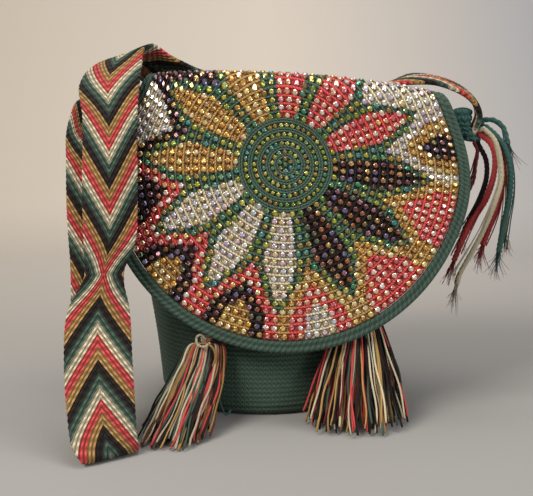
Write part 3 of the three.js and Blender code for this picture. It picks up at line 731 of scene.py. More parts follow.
def zone_of(u, v):
    """Zone number at a place of the disc. Off-axis distance is r sin(angle from the axis). A petal is
    4.5 mm wide each side at its foot, 12.4 at 75 mm and 0 at 105; its outline fills the sector to 75 mm
    and tapers to a point at 113; beyond it come three layers, 9, 12 mm and the rest."""
    r = np.hypot(u, v)
    angle = np.arctan2(v, u) - PETAL_TILT
    petal = np.round(angle / SECTOR)
    off = r * np.sin(angle - petal * SECTOR)
    side = np.floor(angle / SECTOR).astype(int) % len(PETALS)
    petal = petal.astype(int) % len(PETALS)
    half = np.interp(r, PETAL_AT, PETAL_HALF)
    sector_half = r * math.tan(SECTOR / 2)
    taper = 19.6 * (1 - np.clip((r - WIDEST) / OUTLINE_TAPER, 0, 1) ** 1.3)
    outline = np.where(r < WIDEST, sector_half, taper)
    layer = np.digitize(np.abs(off) - outline, LAYERS)
    zone = GAPS[side, layer]
    zone = np.where(np.abs(off) <= outline, GREEN, zone)
    zone = np.where((np.abs(off) <= half) & (r < PETAL_AT[-1]), PETALS[petal], zone)
    return np.where(r < MIDDLE_RADIUS, GREEN, zone)


YARN_OF_ZONE = np.array([YARN[zone] for zone in ZONES])
INNER_PITCH = 4.4
OUTER_PITCH = 6.1
inner_rings = np.array([4.4, 10, 16.5, 23.2, 30])
outer_rings = 31.2 + 6.05 * np.arange(1, 17)
ring_radius = np.concatenate([inner_rings, outer_rings])
ring_count = np.concatenate([
    np.round(TAU * inner_rings / INNER_PITCH).astype(int),
    12 * np.round(TAU * outer_rings / 12 / OUTER_PITCH).astype(int),
])
print("rings of stones:", len(ring_radius), "stones:", int(ring_count.sum()) + 1)

# %% [markdown]
# ## The flap's ground
# Under the stones lies a disc of crochet, worked from the middle out, in the colour of its zone. Its back
# shows when the bag is seen from behind, so the back has its own rows of stitches.

# %% Flap ground
GROUND_START = 1.5
GROUND_RADIUS = 130.7
GROUND_ROWS = 130
GROUND_COLUMNS = 260


def make_ground():
    """Two polar grids, front and back, with a rib every row of 3.05 mm. The colour is the zone's on the
    front and green on the back."""
    radius = np.linspace(GROUND_START, GROUND_RADIUS, GROUND_ROWS)[:, None]
    angle = np.arange(GROUND_COLUMNS) / GROUND_COLUMNS * TAU
    rib = np.abs(np.sin(math.pi * radius / FLAP_ROW / 2)) ** 0.7
    front = flap_polar(radius, angle, FLAP_THICK - 0.5 + 0.4 * rib)
    back = flap_polar(radius, angle, 0.6 - 0.6 * rib)
    points, quads, tris = slab(front, back, closed=True, pole=True)
    zone = zone_of(radius * np.cos(angle), radius * np.sin(angle)).reshape(-1)
    colour = np.vstack([YARN_OF_ZONE[zone], np.tile(YARN["green"], (len(zone), 1))])
    colour = np.vstack([colour, YARN["green"], YARN["green"]])
    share = np.arange(GROUND_COLUMNS) / GROUND_COLUMNS
    uv = grid_uv(share, radius / FLAP_ROW)
    uv = np.vstack([uv, uv, uv[:1], uv[:1]])
    return make_piece("flap_ground", points, [quads, tris], crochet("flap_crochet", None), uv,
                      values={"colour": colour})


ground = stand_for(make_ground(), "green_yarn")

# %% [markdown]
# ## The cords between the stones
# Between two rings of stones a raised cord of stitches runs round the disc. It changes yarn where the
# zone changes, and swells and thins once per stitch. In the round middle the cords lie in pairs.

# %% Rings of cord
CORD_RADIUS = 0.95
PAIR_RADIUS = 0.85
PAIR_OFF = 0.95
CORD_STITCH = 2.4
CORD_SWELL = 0.16
between_inner = np.append((inner_rings[:-1] + inner_rings[1:]) / 2, 33.7)
between_outer = outer_rings[:-1] + 3.02
cord_rings = [(radius + side, PAIR_RADIUS) for radius in between_inner for side in (-PAIR_OFF, PAIR_OFF)]
cord_rings += [(radius, CORD_RADIUS) for radius in between_outer]


def make_cords():
    """One tube per ring of cord, joined in one mesh. Each tube swells by a sixth per 2.4 mm stitch, and
    closes on itself, because its last ring of points is joined to its first."""
    points, quads, colours, uvs = [], [], [], []
    start = 0
    sides = 6
    turn = np.arange(sides) / sides * TAU
    for radius, size in cord_rings:
        stitches = int(round(TAU * radius / CORD_STITCH))
        steps = stitches * 3
        angle = np.arange(steps)[:, None] / steps * TAU
        thick = size * (1 + CORD_SWELL * np.cos(angle * stitches))
        r = radius + thick * np.cos(turn)
        ring = flap_polar(r, angle, FLAP_THICK + 0.55 + thick * np.sin(turn))
        quads.append(loop_quads(steps, sides) + start)
        zone = zone_of(radius * np.cos(angle), radius * np.sin(angle))[:, 0]
        colours.append(np.repeat(YARN_OF_ZONE[zone], sides, axis=0))
        points.append(ring.reshape(-1, 3))
        uvs.append(grid_uv(turn / TAU, angle * radius))
        start += steps * sides
    material = twisted_yarn("stone_cord", 2, 2 * CORD_STITCH, 0.0003)
    return make_piece("flap_cords", np.vstack(points), [np.vstack(quads)], material, np.vstack(uvs),
                      values={"colour": np.vstack(colours)})


cords = stand_for(make_cords(), "green_yarn")

# %% [markdown]
# ## The stones
# Flat-backed glass stones 5 mm across, one per stitch. Each has a flat table, two rows of facets and a
# low rim, so it takes some sixty triangles and still breaks the light into pieces. A thin metal film
# gives such stones their shifting tints, so each facet's tint is drawn from a small set for its zone.

# %% Stone shape
STONE_GIRDLE = 2.55
STONE_TOP = 1.9


def stone_shape():
    """Points and triangles of one stone: a foot and a girdle of eight corners, eight corners between them
    turned by half a step, eight table corners, and the table's middle."""
    turn = np.arange(8) / 8 * TAU
    half = turn + TAU / 16
    rows = [
        (STONE_GIRDLE, turn, -0.3), (STONE_GIRDLE, turn, 0.55), (2.05, half, 1.3), (1.25, turn, STONE_TOP),
    ]
    points = [np.stack([r * np.cos(a), r * np.sin(a), np.full(8, h)], axis=1) for r, a, h in rows]
    points = np.vstack([*points, [[0, 0, STONE_TOP]], [[0, 0, -0.3]]])
    j = np.arange(8)
    k = (j + 1) % 8
    tris = [
        (j, k, 8 + k), (j, 8 + k, 8 + j), (8 + j, 8 + k, 16 + j), (16 + j, 8 + k, 16 + k),
        (16 + j, 24 + k, 24 + j), (16 + j, 16 + k, 24 + k), (24 + j, 24 + k, np.full(8, 32)),
        (k, j, np.full(8, 33)),
    ]
    return points, np.concatenate([np.stack(tri, axis=1) for tri in tris])


TINTS = {
    "green": ["#8f982c", "#b9b23a", "#b98a34", "#2f8a6e", "#5f8f3a", "#3a8f9a", "#9a6a2c", "#d9cf6a"],
    "tan": ["#e3a53e", "#f8cf70", "#bd7f2a", "#ffecb0", "#dc9744", "#a06a2c", "#ffdf90", "#f6deb6"],
    "coral": ["#eba07a", "#f8ccb0", "#dc6068", "#fbe4c6", "#e4868f", "#f0ba64", "#fdeee6", "#cf5050"],
    "brown": ["#8a4f2a", "#6c6a9a", "#5e3444", "#d8a860", "#4a2a20", "#9a6a7e", "#5f6c48", "#a8653c"],
    "cream": ["#d9cfe2", "#f6f0e0", "#c4b2d0", "#e8c88a", "#c8d6de", "#fbf8f0", "#e6bcc2", "#dcc494"],
}
INNER_STONE = 0.74
# painted highlight and shade by facet row: the rim 0.25, the lower crown 0.5, the upper crown 0.95, the table
# 1.3, the hidden foot 0.2
FACET_LIGHT = np.repeat([0.25, 0.5, 0.95, 1.3, 0.2], [16, 16, 16, 8, 8])


def make_stones(seed=11):
    """Every stone is the one shape turned at random, tipped by up to 4 degrees and bedded on the flap's
    surface. A stone's facets share a main tint of its zone and one in three takes another. Highlight and
    shade
    are painted into the tints: the table is brightest and the low rim darkest."""
    rng = np.random.default_rng(seed)
    radius = np.repeat(ring_radius, ring_count)
    number = np.concatenate([np.arange(n) for n in ring_count])
    shift = np.repeat(rng.uniform(0, 0.3, len(ring_count)), ring_count)
    angle = (number + 0.5 + shift) / np.repeat(ring_count, ring_count) * TAU
    u = np.concatenate([[0.0], radius * np.cos(angle)]) + rng.normal(0, 0.12, len(radius) + 1)
    v = np.concatenate([[0.0], radius * np.sin(angle)]) + rng.normal(0, 0.12, len(radius) + 1)
    shape, tris = stone_shape()
    turn = rng.uniform(0, TAU, (len(u), 1))
    size = np.where(np.hypot(u, v) < inner_rings[-1] + 1, INNER_STONE, 1.0)[:, None]
    size = size * rng.uniform(0.93, 1.03, (len(u), 1))
    x = size * (shape[:, 0] * np.cos(turn) - shape[:, 1] * np.sin(turn))
    y = size * (shape[:, 0] * np.sin(turn) + shape[:, 1] * np.cos(turn))
    tip = rng.normal(0, 0.06, (2, len(u), 1))
    height = FLAP_THICK + 0.5 + size * shape[:, 2] + tip[0] * x + tip[1] * y
    points = flap_point(u[:, None] + x, v[:, None] + y, height).reshape(-1, 3)
    zone = zone_of(u, v)
    table = np.array([[linear(tint) for tint in TINTS[name]] for name in ZONES])
    main = rng.integers(0, table.shape[1], len(u))
    facets = (len(u), len(tris))
    facet = np.where(rng.random(facets) < 0.35, rng.integers(0, table.shape[1], facets), main[:, None])
    # each facet's tint times its row's painted highlight or shade and a random factor
    tint = table[zone[:, None], facet] * (FACET_LIGHT * rng.uniform(0.55, 1.25, facets))[..., None]
    faces = tris[None] + (np.arange(len(u)) * len(shape))[:, None, None]
    return points, faces.reshape(-1, 3), np.clip(tint, 0, 1).reshape(-1, 3)


def stone_material():
    """Foil-backed glass: almost a mirror in its tint, under a clear coat."""
    nodes = Nodes("stone_glass")
    nodes.surface({
        "Base Color": nodes.attribute("tint", "Color"), "Metallic": 0.8, "Coat Weight": 1.0,
        "Roughness": nodes.math("MULTIPLY_ADD", nodes.noise(900, 1), 0.12, 0.08), "Coat Roughness": 0.03,
    })
    return nodes.material


stone_points, stone_faces, stone_tints_and_painted_light = make_stones()
stones = make_piece("flap_stones", stone_points, [stone_faces], stone_material(),
                    face_values={"tint": stone_tints_and_painted_light}, smooth=False)
stand_for(stones, "stone_flap", "flap_panel")

# %% [markdown]
# ## The flap's edging
# Two round ribs of dark yarn are worked round the disc, the outer one over the rim. Their stitches slant
# opposite ways, so together they read as a plait.

# %% Edging
EDGING_INSIDE = 131.0
EDGING_WIDTH = 9.0
EDGING_STITCHES = 204
LOBE_AT = 2.2
LOBE_HALF = 2.36
LOBE_BASE = 0.35
LOBE_RISE = 3.1


def make_edging():
    """The section has two half-round lobes above and below: half height 0.35 + 3.1 sqrt(1 - (d / 2.36)^2),
    where d is the distance from the nearer lobe's middle. Stitches swell it by a tenth along slanted
    lines."""
    steps, half = 816, 13
    across = -np.cos(np.linspace(0, math.pi, half))
    x = np.concatenate([across, across[-2:0:-1]]) * EDGING_WIDTH / 2
    side = np.concatenate([np.ones(half), -np.ones(half - 2)])
    lobe = np.clip(1 - ((np.abs(x) - LOBE_AT) / LOBE_HALF) ** 2, 0, 1) ** 0.5
    angle = np.arange(steps)[:, None] / steps * TAU
    stitch = np.cos(EDGING_STITCHES * angle + np.sign(x) * (np.abs(x) - LOBE_AT) * 0.9 + side * 0.6)
    height = FLAP_THICK / 2 + side * (LOBE_BASE + LOBE_RISE * lobe * (1 + 0.09 * stitch))
    ring = flap_polar(EDGING_INSIDE + EDGING_WIDTH / 2 + x, angle, height)
    return make_piece("edging", ring.reshape(-1, 3), [loop_quads(steps, len(x))], edging_material(),
                      grid_uv(angle / TAU, x))


def edging_material():
    """Relief of slanted stripes, one per stitch and three plies in each, that lean opposite ways on the
    two ribs."""
    nodes = Nodes("edging_yarn")
    u, v = nodes.uv()
    slant = nodes.math("MULTIPLY", nodes.math("ABSOLUTE", v), 0.16)
    turns = [nodes.math("MULTIPLY", u, count) for count in (float(EDGING_STITCHES), 3.0 * EDGING_STITCHES)]
    stitches, plies = (
        nodes.stripes(nodes.math("MULTIPLY_ADD", nodes.math("SIGN", v), slant, turn)) for turn in turns
    )
    height = nodes.math("MULTIPLY_ADD", plies, 0.35, nodes.math("MULTIPLY", stitches, 0.65))
    return nodes.finish_yarn(YARN["edging"], height, 0.0008, groove_shade=0.6)


stand_for(make_edging(), "green_edging", "flap_edging")

# %% [markdown]
# ## The strap
# A band braided from fat cords, two to each stripe of colour. Each cord runs slantwise to the middle and
# back, so the band shows nested chevrons in five colours; part way along, the slant turns over. The
# pattern is one number, the slanted distance from that place, and both the relief and the colour follow it.

# %% Strap: edge points in mm, the front or right edge and then the other edge
STRAP_ROUTE = np.array([
    (165, -13, 207, 166, 2, 208), (169, -15, 217, 170, 5, 218),
    (171, -16, 223, 172, 6, 224), (168, -18, 232, 170, 8, 234),
    (160, -20, 240, 162, 12, 243), (148, -21, 246, 150, 14, 250), (134, -21, 250, 135, 16, 254),
    (117, -19, 250, 119, 20, 254.5), (98, -16, 248.5, 99, 24, 246), (75, -15, 250, 75, 26, 248.5),
    (20, -15, 255, 20, 27, 253.5), (-15, -14, 256.5, -15, 28, 255), (-35, -12, 258, -36, 28, 253.5),
    (-46, -10, 258.5, -44, 26, 251.5), (-59, -11, 264, -56, 26, 247), (-72, -13, 271, -73, 24, 247.5),
    (-83, -17, 279, -92, 17, 249), (-89.5, -27, 277, -118, 6, 264), (-90.5, -42, 266, -132, -20, 261),
    (-91, -56, 252, -138, -42, 248), (-91.5, -70, 232, -133, -62, 228), (-91, -82, 206, -131, -80, 202),
    (-90, -93, 174, -130, -94, 171), (-91, -104, 140, -128, -106, 138), (-99, -112, 117, -127, -114, 116),
    (-94, -122, 93, -138, -125, 92), (-91, -138, 62, -138, -145, 60), (-88, -154, 34, -133, -168, 32),
    (-86, -164, 14, -127, -186, 13), (-85, -163, 4.4, -121, -190, 4.4), (-87, -149, 4.4, -122, -176, 4.4),
    (-97, -131, 14, -132, -158, 13), (-98, -126, 45, -136, -141, 43), (-98, -115, 80, -137, -119, 80),
    (-100, -103, 118, -138, -106, 118), (-102, -87, 158, -142, -91, 158), (-107, -72, 194, -144, -76, 194),
    (-127, -52, 213, -145, -66, 213), (-131, -26, 228, -144, -48, 228), (-133, -2, 236, -142, -28, 236),
    (-132, 9, 234, -134, -18, 234), (-131, 10, 228, -132, -18, 228),
], float)
STRAP_THICK = 4.0
CROSSING = 24
CHEVRON_RISE = 37.0
BAND = 9.6
CORDS_PER_BAND = 2
STRAP_STEP = 1.05
STRAP_COLUMNS = 37
EDGE_CROWDING = 0.86


def strap_pattern(along, across):
    """Slanted distance from the crossing: the distance along the band plus a rise that is greatest on
    the middle line and falls evenly to nothing at the edges."""
    return np.abs(along - strap_crossing) + CHEVRON_RISE * (1 - np.abs(across))


def strap_frames(spacing):
    """Edges, normal and length along the middle, at even distances: the normal is the way along crossed
    with the way from the left edge to the right."""
    fine_at = np.linspace(0, len(STRAP_ROUTE) - 1, 4000)
    right, left = catmull(STRAP_ROUTE[:, :3], fine_at), catmull(STRAP_ROUTE[:, 3:], fine_at)
    run = run_along((right + left) / 2)
    at = np.interp(np.linspace(0, run[-1], int(run[-1] / spacing)), run, fine_at)
    right, left = catmull(STRAP_ROUTE[:, :3], at), catmull(STRAP_ROUTE[:, 3:], at)
    middle = (right + left) / 2
    along = unit(np.gradient(middle, axis=0))
    crossing = np.interp(CROSSING, fine_at, run)
    return right, left, unit(np.cross(along, right - left)), run_along(middle), crossing


strap_right, strap_left, strap_normal, strap_run, strap_crossing = strap_frames(STRAP_STEP)


def make_strap():
    """Sheet of columns from edge to edge. Each cord swells the sheet by 1 mm as a rounded rib and juts out
    at the edge, and the sheet thins there: half thickness times 0.25 + 0.75 sqrt(1 - 0.97 q^6)."""
    lean = math.pi / 2 * EDGE_CROWDING
    q = np.sin(np.linspace(-1, 1, STRAP_COLUMNS) * lean) / math.sin(lean)
    centre = strap_left[:, None] + (strap_right - strap_left)[:, None] * ((q[None, :, None] + 1) / 2)
    pattern = strap_pattern(strap_run[:, None], q[None, :])
    rib = np.abs(np.sin(math.pi * pattern * CORDS_PER_BAND / BAND)) ** 0.8
    centre = centre + (strap_right - strap_left)[:, None] * (q[None, :] ** 3 * (rib - 0.5) * 0.012)[..., None]
    half = (STRAP_THICK / 2 - 0.45 + 1.0 * rib) * (0.25 + 0.75 * np.sqrt(1 - 0.97 * q**6))[None, :]
    slack = 0.5 * wave(centre, 70, 9)
    normal = strap_normal[:, None]
    front = centre + normal * (half + slack)[..., None]
    back = centre - normal * (half - slack)[..., None]
    points, quads, _ = slab(front, back)
    uv = grid_uv(q[None, :], strap_run[:, None])
    return make_piece("strap_band", points, [quads[:, ::-1]], strap_material(), np.vstack([uv, uv]), wrap=99)


def strap_material():
    """Colour steps through the five yarns with the slanted distance. The height is a rounded rib for
    every cord, cut by the slanting plies of its twist."""
    nodes = Nodes("strap_weave")
    q, s = nodes.uv()
    away = nodes.math("ABSOLUTE", nodes.math("SUBTRACT", s, float(strap_crossing)))
    rise = nodes.math("MULTIPLY_ADD", nodes.math("ABSOLUTE", q), -CHEVRON_RISE, CHEVRON_RISE)
    pattern = nodes.math("ADD", away, rise)
    order = ["coral", "tan", "brown", "green", "cream"]
    shift = BAND * (0.5 - CHEVRON_RISE / BAND)
    turns = nodes.math("DIVIDE", nodes.math("ADD", pattern, shift), BAND * len(order))
    colour = nodes.steps(nodes.math("FRACT", turns), [YARN[name] for name in order])
    cord = nodes.math("MULTIPLY", pattern, CORDS_PER_BAND / BAND)
    swell = nodes.math("SINE", nodes.math("MULTIPLY", cord, math.pi))
    rib = nodes.math("POWER", nodes.math("ABSOLUTE", swell), 0.85)
    lay = nodes.math("MULTIPLY_ADD", nodes.math("ABSOLUTE", q), 7.0, nodes.math("MULTIPLY", cord, 0.8))
    plies = nodes.stripes(lay)
    height = nodes.math("MULTIPLY", rib, nodes.math("MULTIPLY_ADD", plies, 0.65, 0.35))
    return nodes.finish_yarn(colour, height, 0.0016, groove_shade=0.82, tone=0.5)


strap = stand_for(make_strap(), "strap_weave", "strap")

# %% [markdown]
# ## The tabs that hold the strap
# Where the strap meets the bag its end is gathered and wound over with thick teal yarn, then sewn to the
# side. A tab is a stack of fat rounds, each with stitches round it.

# %% Tabs: middle lines in mm
TAB_LINES = {
    "strap_tab_right": [(158.8, -6, 230.4), (157.5, -6, 219.1), (159.7, -6, 212.2), (167.9, -6, 203.2)],
    "strap_tab_left": [(-131.5, -4, 227.1), (-127.3, -4, 217.3), (-125.2, -4, 208.9), (-122.8, -4, 199.1)],
}
TAB_HALF = (7.0, 8.0)
TAB_ROUNDS = 6
TAB_STITCHES = 9


def make_tab(name, line):
    """Rings round the middle line. Six rounds swell it by 1.2 mm each, and nine stitches a round swell it
    by 0.8 mm, shifted by half a stitch from round to round. The ends close in like a knot."""
    steps, sides = 73, 54
    share = np.linspace(0, 1, steps)[:, None]
    centre = catmull(line, share[:, 0] * (len(line) - 1))[:, None]
    turn = np.arange(sides) / sides * TAU
    rounds = share * TAB_ROUNDS
    swell = 1.2 * np.abs(np.sin(math.pi * rounds)) ** 0.6
    stitch = np.sin(TAB_STITCHES / 2 * turn + math.pi / 2 * np.floor(rounds))
    swell = swell + 0.8 * np.abs(stitch) ** 0.6
    closing = np.sqrt(np.clip(1 - (2 * share - 1) ** 10, 0.02, 1))
    x = centre[..., 0] + (TAB_HALF[0] + swell) * closing * np.cos(turn)
    y = centre[..., 1] + (TAB_HALF[1] + swell) * closing * np.sin(turn)
    points = np.vstack([grid(x, y, centre[..., 2]).reshape(-1, 3), centre[0], centre[-1]])
    number = np.arange(steps * sides).reshape(steps, sides)
    after = np.roll(number, -1, 1)
    quads = np.stack([number[:-1], after[:-1], after[1:], number[1:]], axis=-1)
    tip = np.full(sides, steps * sides)
    tris = np.vstack([
        np.stack([tip, after[0], number[0]], 1), np.stack([tip + 1, number[-1], after[-1]], 1),
    ])
    uv = grid_uv(turn / TAU, rounds)
    uv = np.vstack([uv, uv[:1], uv[-1:]])
    return make_piece(name + "_wound", points, [quads.reshape(-1, 4)[:, ::-1], tris[:, ::-1]],
                      crochet(name + "_crochet", "teal", TAB_STITCHES, depth=0.0012), uv)


for name, line in TAB_LINES.items():
    stand_for(make_tab(name, np.array(line, float)), "teal_yarn", name)

# %% [markdown]
# ## The drawstring
# One twisted cord is laced through the eyelets, out of one and into the next, and both its ends come down
# behind the flap to a tassel.

# %% Drawstring
STRING_RADIUS = 2.25
SEAT = 0.3
TASSELS = {
    "left": {
        "neck": (-41, -85.6, 60), "hem": (-64, -136, 5), "spread": (26, 27), "flare": 0.26, "tone": 0.85,
    },
    "right": {
        "neck": (74, -71, 88), "hem": (71, -104, 5), "spread": (42, 31), "flare": 0.55, "tone": 1.0,
    },
}


def lace_point(angle, outside):
    """Place of the cord beside the wall at the eyelets' height: its own radius and a little off it."""
    reach = STRING_RADIUS + 1 + 2 * SEAT
    return body_point(EYELET_Z, np.array(angle), reach if outside else -BODY_WALL - reach)


def behind_flap(x, z):
    """Half way between the bucket's front and the flap's back at a place."""
    half_x, half_y, mid_x, mid_y, _ = body_axes(np.array(float(z)))
    share = min(1.0, abs((x - mid_x) / half_x))
    wall = mid_y - (half_y + 1) * math.sqrt(1 - share * share)
    flap = FLAP_CENTRE[1] - (FLAP_CENTRE[2] - z) * math.tan(FLAP_LEAN)
    return np.array([x, (wall + flap) / 2, z])


def string_end(side):
    """The last two points of the cord, straight up from a tassel's neck."""
    neck = np.array(TASSELS[side]["neck"], float)
    top = neck[2] + 6.5 + 2 * SEAT
    return [np.array([neck[0], neck[1], top]), np.array([neck[0], neck[1], top + 4 * STRING_RADIUS])]


def string_route():
    """Up from the left tassel, in and out of the eyelets round the mouth, and down to the right tassel."""
    rise = ((-36, 110), (-33, 140), (-30, 172), (-27, 202))
    route = string_end("left") + [behind_flap(x, z) for x, z in rise]
    for index in range(EYELETS - 1, -1, -1):
        angle = eyelet_angle(index)
        turn = 2 * STRING_RADIUS / rim_reach(angle)
        outside = index % 2 == 1
        route += [lace_point(angle + turn, outside), lace_point(angle - turn, not outside)]
        if index > 0:
            route.append(lace_point(angle - math.pi / EYELETS, not outside))
    route += [behind_flap(x, z) for x, z in ((50, 202), (57, 172), (64, 142))]
    return np.array(route + string_end("right")[::-1])


string_path = even_path(string_route(), 1.6)
string_yarn = twisted_yarn("rust_strand", 3, 4.0, 0.0003, "rust")
drawstring = rope("drawstring_rope", string_path, STRING_RADIUS, 3, string_yarn, lay=14.0, sides=12)
stand_for(drawstring, "rust_yarn", "drawstring")
print("drawstring length:", round(run_along(string_path)[-1]), "mm")

# %% [markdown]
# ## The tassels
# Each tassel is 260 or 300 lengths of yarn, bound at the neck and cut at the hem. The strands
# spread as they fall, and each drifts its own way, so the hem is ragged. The darkest yarn is the commonest,
# so the light strands stand out one by one, as they do on the real tassels.

# %% Tassels
STRAND_RADIUS = 0.76


def strand_paths(side, count, seed):
    """Paths from neck to hem. The middle of the bundle follows share^1.3 sideways. A strand keeps its
    place in the bundle, whose half width grows with a small power of the share, so the outer strands
    arch over before they hang. Each sways by slow waves, and near the hem by a quick one too."""
    rng = np.random.default_rng(seed)
    tassel = TASSELS[side]
    neck, hem, spread = (np.array(tassel[key], float) for key in ("neck", "hem", "spread"))
    angle = rng.uniform(0, TAU, (count, 1))
    place = np.sqrt(rng.uniform(0.05, 1, (count, 1)))
    length = rng.uniform(0.9, 1.0, (count, 1)) - 0.14 * (rng.random((count, 1)) < 0.1)
    share = np.linspace(0, 1, 26)[None, :] ** 1.5 * length
    half_x = 2.5 + (spread[0] - 3) * share ** tassel["flare"]
    half_y = 2.5 + (spread[1] - 3) * share**1.1
    sway = share * 2.4 * np.sin(share * rng.uniform(3, 7, (count, 1)) + rng.uniform(0, TAU, (count, 1)))
    sway += share * 0.8 * np.sin(share * rng.uniform(12, 20, (count, 1)) + rng.uniform(0, TAU, (count, 1)))
    sway_y = share * 1.6 * np.sin(share * rng.uniform(3, 7, (count, 1)) + rng.uniform(0, TAU, (count, 1)))
    x = neck[0] + (hem[0] - neck[0]) * share**1.3 + place * half_x * np.cos(angle) + sway
    y = neck[1] + (hem[1] - neck[1]) * share**1.3 + place * half_y * np.sin(angle) + sway_y
    arch = 4.5 * place * np.sin(math.pi * np.minimum(share / 0.2, 1)) * (1 - share)
    z = neck[2] - 1 + arch + (STRAND_RADIUS + 0.6 - neck[2] + 1) * share + 0 * x
    return grid(x, y, z)


SHARES = {
    "brown": 0.38, "green": 0.14, "tan": 0.12, "cream": 0.12, "coral": 0.13, "maroon": 0.05, "rust": 0.06,
}


def make_tassel(side, count, seed):
    """Strands as thin tubes. Each strand's yarn is drawn by the yarns' shares in the bundle."""
    rng = np.random.default_rng(seed + 50)
    paths = strand_paths(side, count, seed)
    points, parts, uv, per_tube = tubes(paths, STRAND_RADIUS * rng.uniform(0.8, 1.15, (count, 1, 1)), 6)
    table = np.array([YARN[name] for name in SHARES])
    drawn = rng.choice(len(table), count, p=list(SHARES.values()))
    colour = table[drawn] * rng.uniform(0.75, 1.15, (count, 1)) * TASSELS[side]["tone"]
    return make_piece("tassel_" + side + "_strands", points, parts, tassel_yarn, uv,
                      values={"colour": np.repeat(colour, per_tube, axis=0)})


tassel_yarn = twisted_yarn("tassel_strand", 2, 2.6, 0.0002)
for side, count, seed in (("left", 260, 21), ("right", 300, 22)):
    stand_for(make_tassel(side, count, seed), "mixed_yarn", "tassel_" + side + "_skirt")

# %% [markdown]
# ## The ties
# A thread is wound tightly round each tassel's neck. It is one long helix, over a plain core that the
# strands start from. On the left tassel the thread's ends are tied in a small bow, and one green thread
# has slipped out of the skirt.

# %% Ties
TIE_TURNS = 5.2
TIE_RADIUS = 3.7
TIE_PITCH = 1.05
TIE_THREAD = 0.7


def make_tie(side, colour, seed):
    """A helix of thread 1.4 mm thick. Its radius varies a little from turn to turn and closes in at the
    top."""
    neck = np.array(TASSELS[side]["neck"], float)
    turns = np.linspace(0, TIE_TURNS, 220)
    radius = TIE_RADIUS + 0.3 * np.sin(turns * 2.7 + seed) - 0.9 * smoothstep(turns, TIE_TURNS - 1, TIE_TURNS)
    height = neck[2] + 0.9 + turns * TIE_PITCH
    path = grid(neck[0] + radius * np.cos(turns * TAU), neck[1] + radius * np.sin(turns * TAU), height)
    name = "tassel_" + side + "_winding"
    return tube_piece(name, strand_yarn(colour), path[None], TIE_THREAD, 8, lean=(0, 0, 1))


def make_core(side):
    """The bundle inside the winding: a blunt spindle that closes over the cord."""
    neck = np.array(TASSELS[side]["neck"], float)
    path = np.stack([neck + (0, 0, height) for height in np.linspace(-6, 6.6, 16)])
    radius = np.interp(np.linspace(0, 1, 16), (0, 0.15, 0.7, 1), (3.0, 3.6, 3.4, 2.2))
    name = "tassel_" + side + "_core"
    return tube_piece(name, strand_yarn("rust"), path[None], radius[None, :, None], 20, lean=(0, 1, 0))


LOOSE = [
    ("bow_loop", "cream", 0.9, [
        (-41, -91, 63), (-45, -93, 67.5), (-48, -95, 66), (-47, -97, 61), (-42, -97, 59.5), (-38, -95, 62),
    ]),
    ("bow_end", "tan", 0.9, [(-44, -93, 61), (-39, -96, 61), (-35, -97, 57), (-34, -98, 51), (-36, -99, 45)]),
    ("bow_short_end", "rust", 0.9, [(-41, -93, 62), (-36, -93, 66), (-33, -93, 70)]),
    ("slipped_thread", "teal", 0.7, [
        (-38, -95, 50), (-33, -103, 31), (-29.5, -105, 16), (-26, -105, 9.5), (-22.5, -104, 13),
    ]),
]


def make_loose(name, colour, radius, route):
    """One thread along a smooth path through its points."""
    path = even_path(np.array(route, float), 0.8)
    return tube_piece("tassel_left_" + name, strand_yarn(colour), path[None], radius, 8)


for name, colour, radius, route in LOOSE:
    stand_for(make_loose(name, colour, radius, route), "mixed_yarn")
for side, colour in (("left", "cream"), ("right", "tan")):
    stand_for(make_tie(side, colour, 1), "cream_yarn", "tassel_" + side + "_tie")
    stand_for(make_core(side), "rust_yarn")

# %% [markdown]
# ## The setting
# A sheet of pale paper runs from the floor up behind the bag in one curve, so no corner shows. Its colour
# carries painted light: warmer and lighter to the left, cooler and darker to the right, a painted glow behind
# the bag, and the floor painted darker than the wall. A large soft light from the upper
# left gives the photo's gentle shadows, a weaker one keeps the right side open, and a third is overhead.

# %% Backdrop and lights
PAPER_BEND = 600
PAPER_HALF = 2400
PAPER_FRONT = -1800
PAPER_TOP = 2600


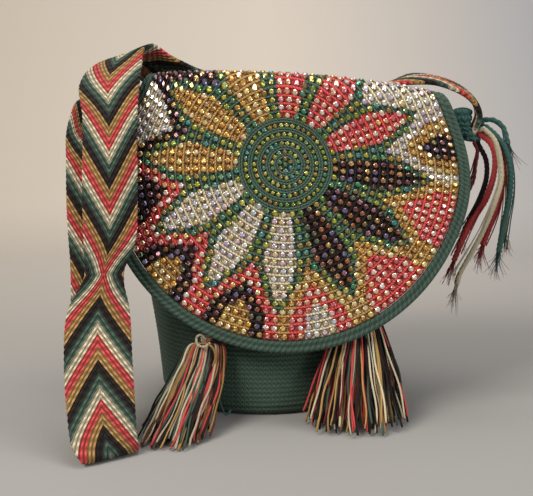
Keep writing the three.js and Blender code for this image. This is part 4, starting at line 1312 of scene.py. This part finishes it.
def make_backdrop():
    """Floor, a quarter circle of 0.6 m and a wall, as one grid in mm, 2.4 m wide on each side."""
    bend = np.linspace(0, math.pi / 2, 24)[1:]
    y = np.concatenate([[PAPER_FRONT, PAPER_BEND], PAPER_BEND * (1 + np.sin(bend)), [2 * PAPER_BEND]])
    z = np.concatenate([[0, 0], PAPER_BEND * (1 - np.cos(bend)), [PAPER_TOP]])
    points = grid(np.linspace(-PAPER_HALF, PAPER_HALF, 9)[None, :], y[:, None], z[:, None])
    number = np.arange(points.shape[0] * points.shape[1]).reshape(points.shape[:2])
    quads = np.stack([number[:-1, :-1], number[:-1, 1:], number[1:, 1:], number[1:, :-1]], axis=-1)
    return make_piece("backdrop", points.reshape(-1, 3), [quads.reshape(-1, 4)], paper_with_painted_light())


def paper_with_painted_light():
    """Painted light by place in metres: warmer and lighter to the left, a painted glow nearest the middle,
    and lighter from the floor up the wall. Each is a share of a straight line, held between 0 and 1."""
    nodes = Nodes("paper")
    x, y, z = nodes.place("Object")
    # painted light: the left is painted warmer and lighter than the right, a painted glow lightens the wall
    # behind the bag, and the floor is painted darker than the wall
    share = nodes.math("MULTIPLY_ADD", x, 1.1, 0.35, clamp=True)
    sides = nodes.mix(share, linear("#bdb3a6"), linear("#a3a4a8"))
    painted_glow = nodes.math("MULTIPLY_ADD", nodes.math("ABSOLUTE", x), -2.2, 1.0, clamp=True)
    wall = nodes.mix(painted_glow, sides, linear("#ccc2b7"))
    height = nodes.math("MULTIPLY_ADD", z, 3.0, nodes.math("MULTIPLY", y, 1.1), clamp=True)
    nodes.surface({
        "Base Color": nodes.mix(height, linear("#918f8c"), wall),
        "Roughness": 0.95, "Specular IOR Level": 0.1,
    })
    return nodes.material


make_backdrop()


def soft_light(name, place, aim, size, watts, colour):
    """A rectangle of light at a place in metres, turned to face the aim."""
    data = bpy.data.lights.new(name, "AREA")
    data.shape = "RECTANGLE"
    data.size, data.size_y = size
    data.energy = watts
    data.color = colour
    light = bpy.data.objects.new(name, data)
    bpy.context.scene.collection.objects.link(light)
    light.location = place
    way = np.array(aim) - np.array(place)
    light.rotation_euler = (math.atan2(math.hypot(way[0], way[1]), -way[2]), 0, math.atan2(-way[0], way[1]))


AIM = (0.0, -0.05, 0.13)
soft_light("key", (-0.9, -1.1, 1.3), AIM, (0.9, 0.7), 33, (1.0, 0.96, 0.89))
soft_light("fill", (1.3, -1.0, 0.6), AIM, (0.9, 0.9), 13.5, (0.95, 0.97, 1.0))
soft_light("top", (0.1, 0.1, 1.5), AIM, (1.2, 0.8), 10, (1.0, 1.0, 1.0))
world = bpy.data.worlds.new("room")
bpy.context.scene.world = world
world.use_nodes = True
world.node_tree.nodes["Background"].inputs["Color"].default_value = (0.9, 0.88, 0.86, 1)
world.node_tree.nodes["Background"].inputs["Strength"].default_value = 0.38
bpy.context.scene.view_settings.view_transform = "Standard"
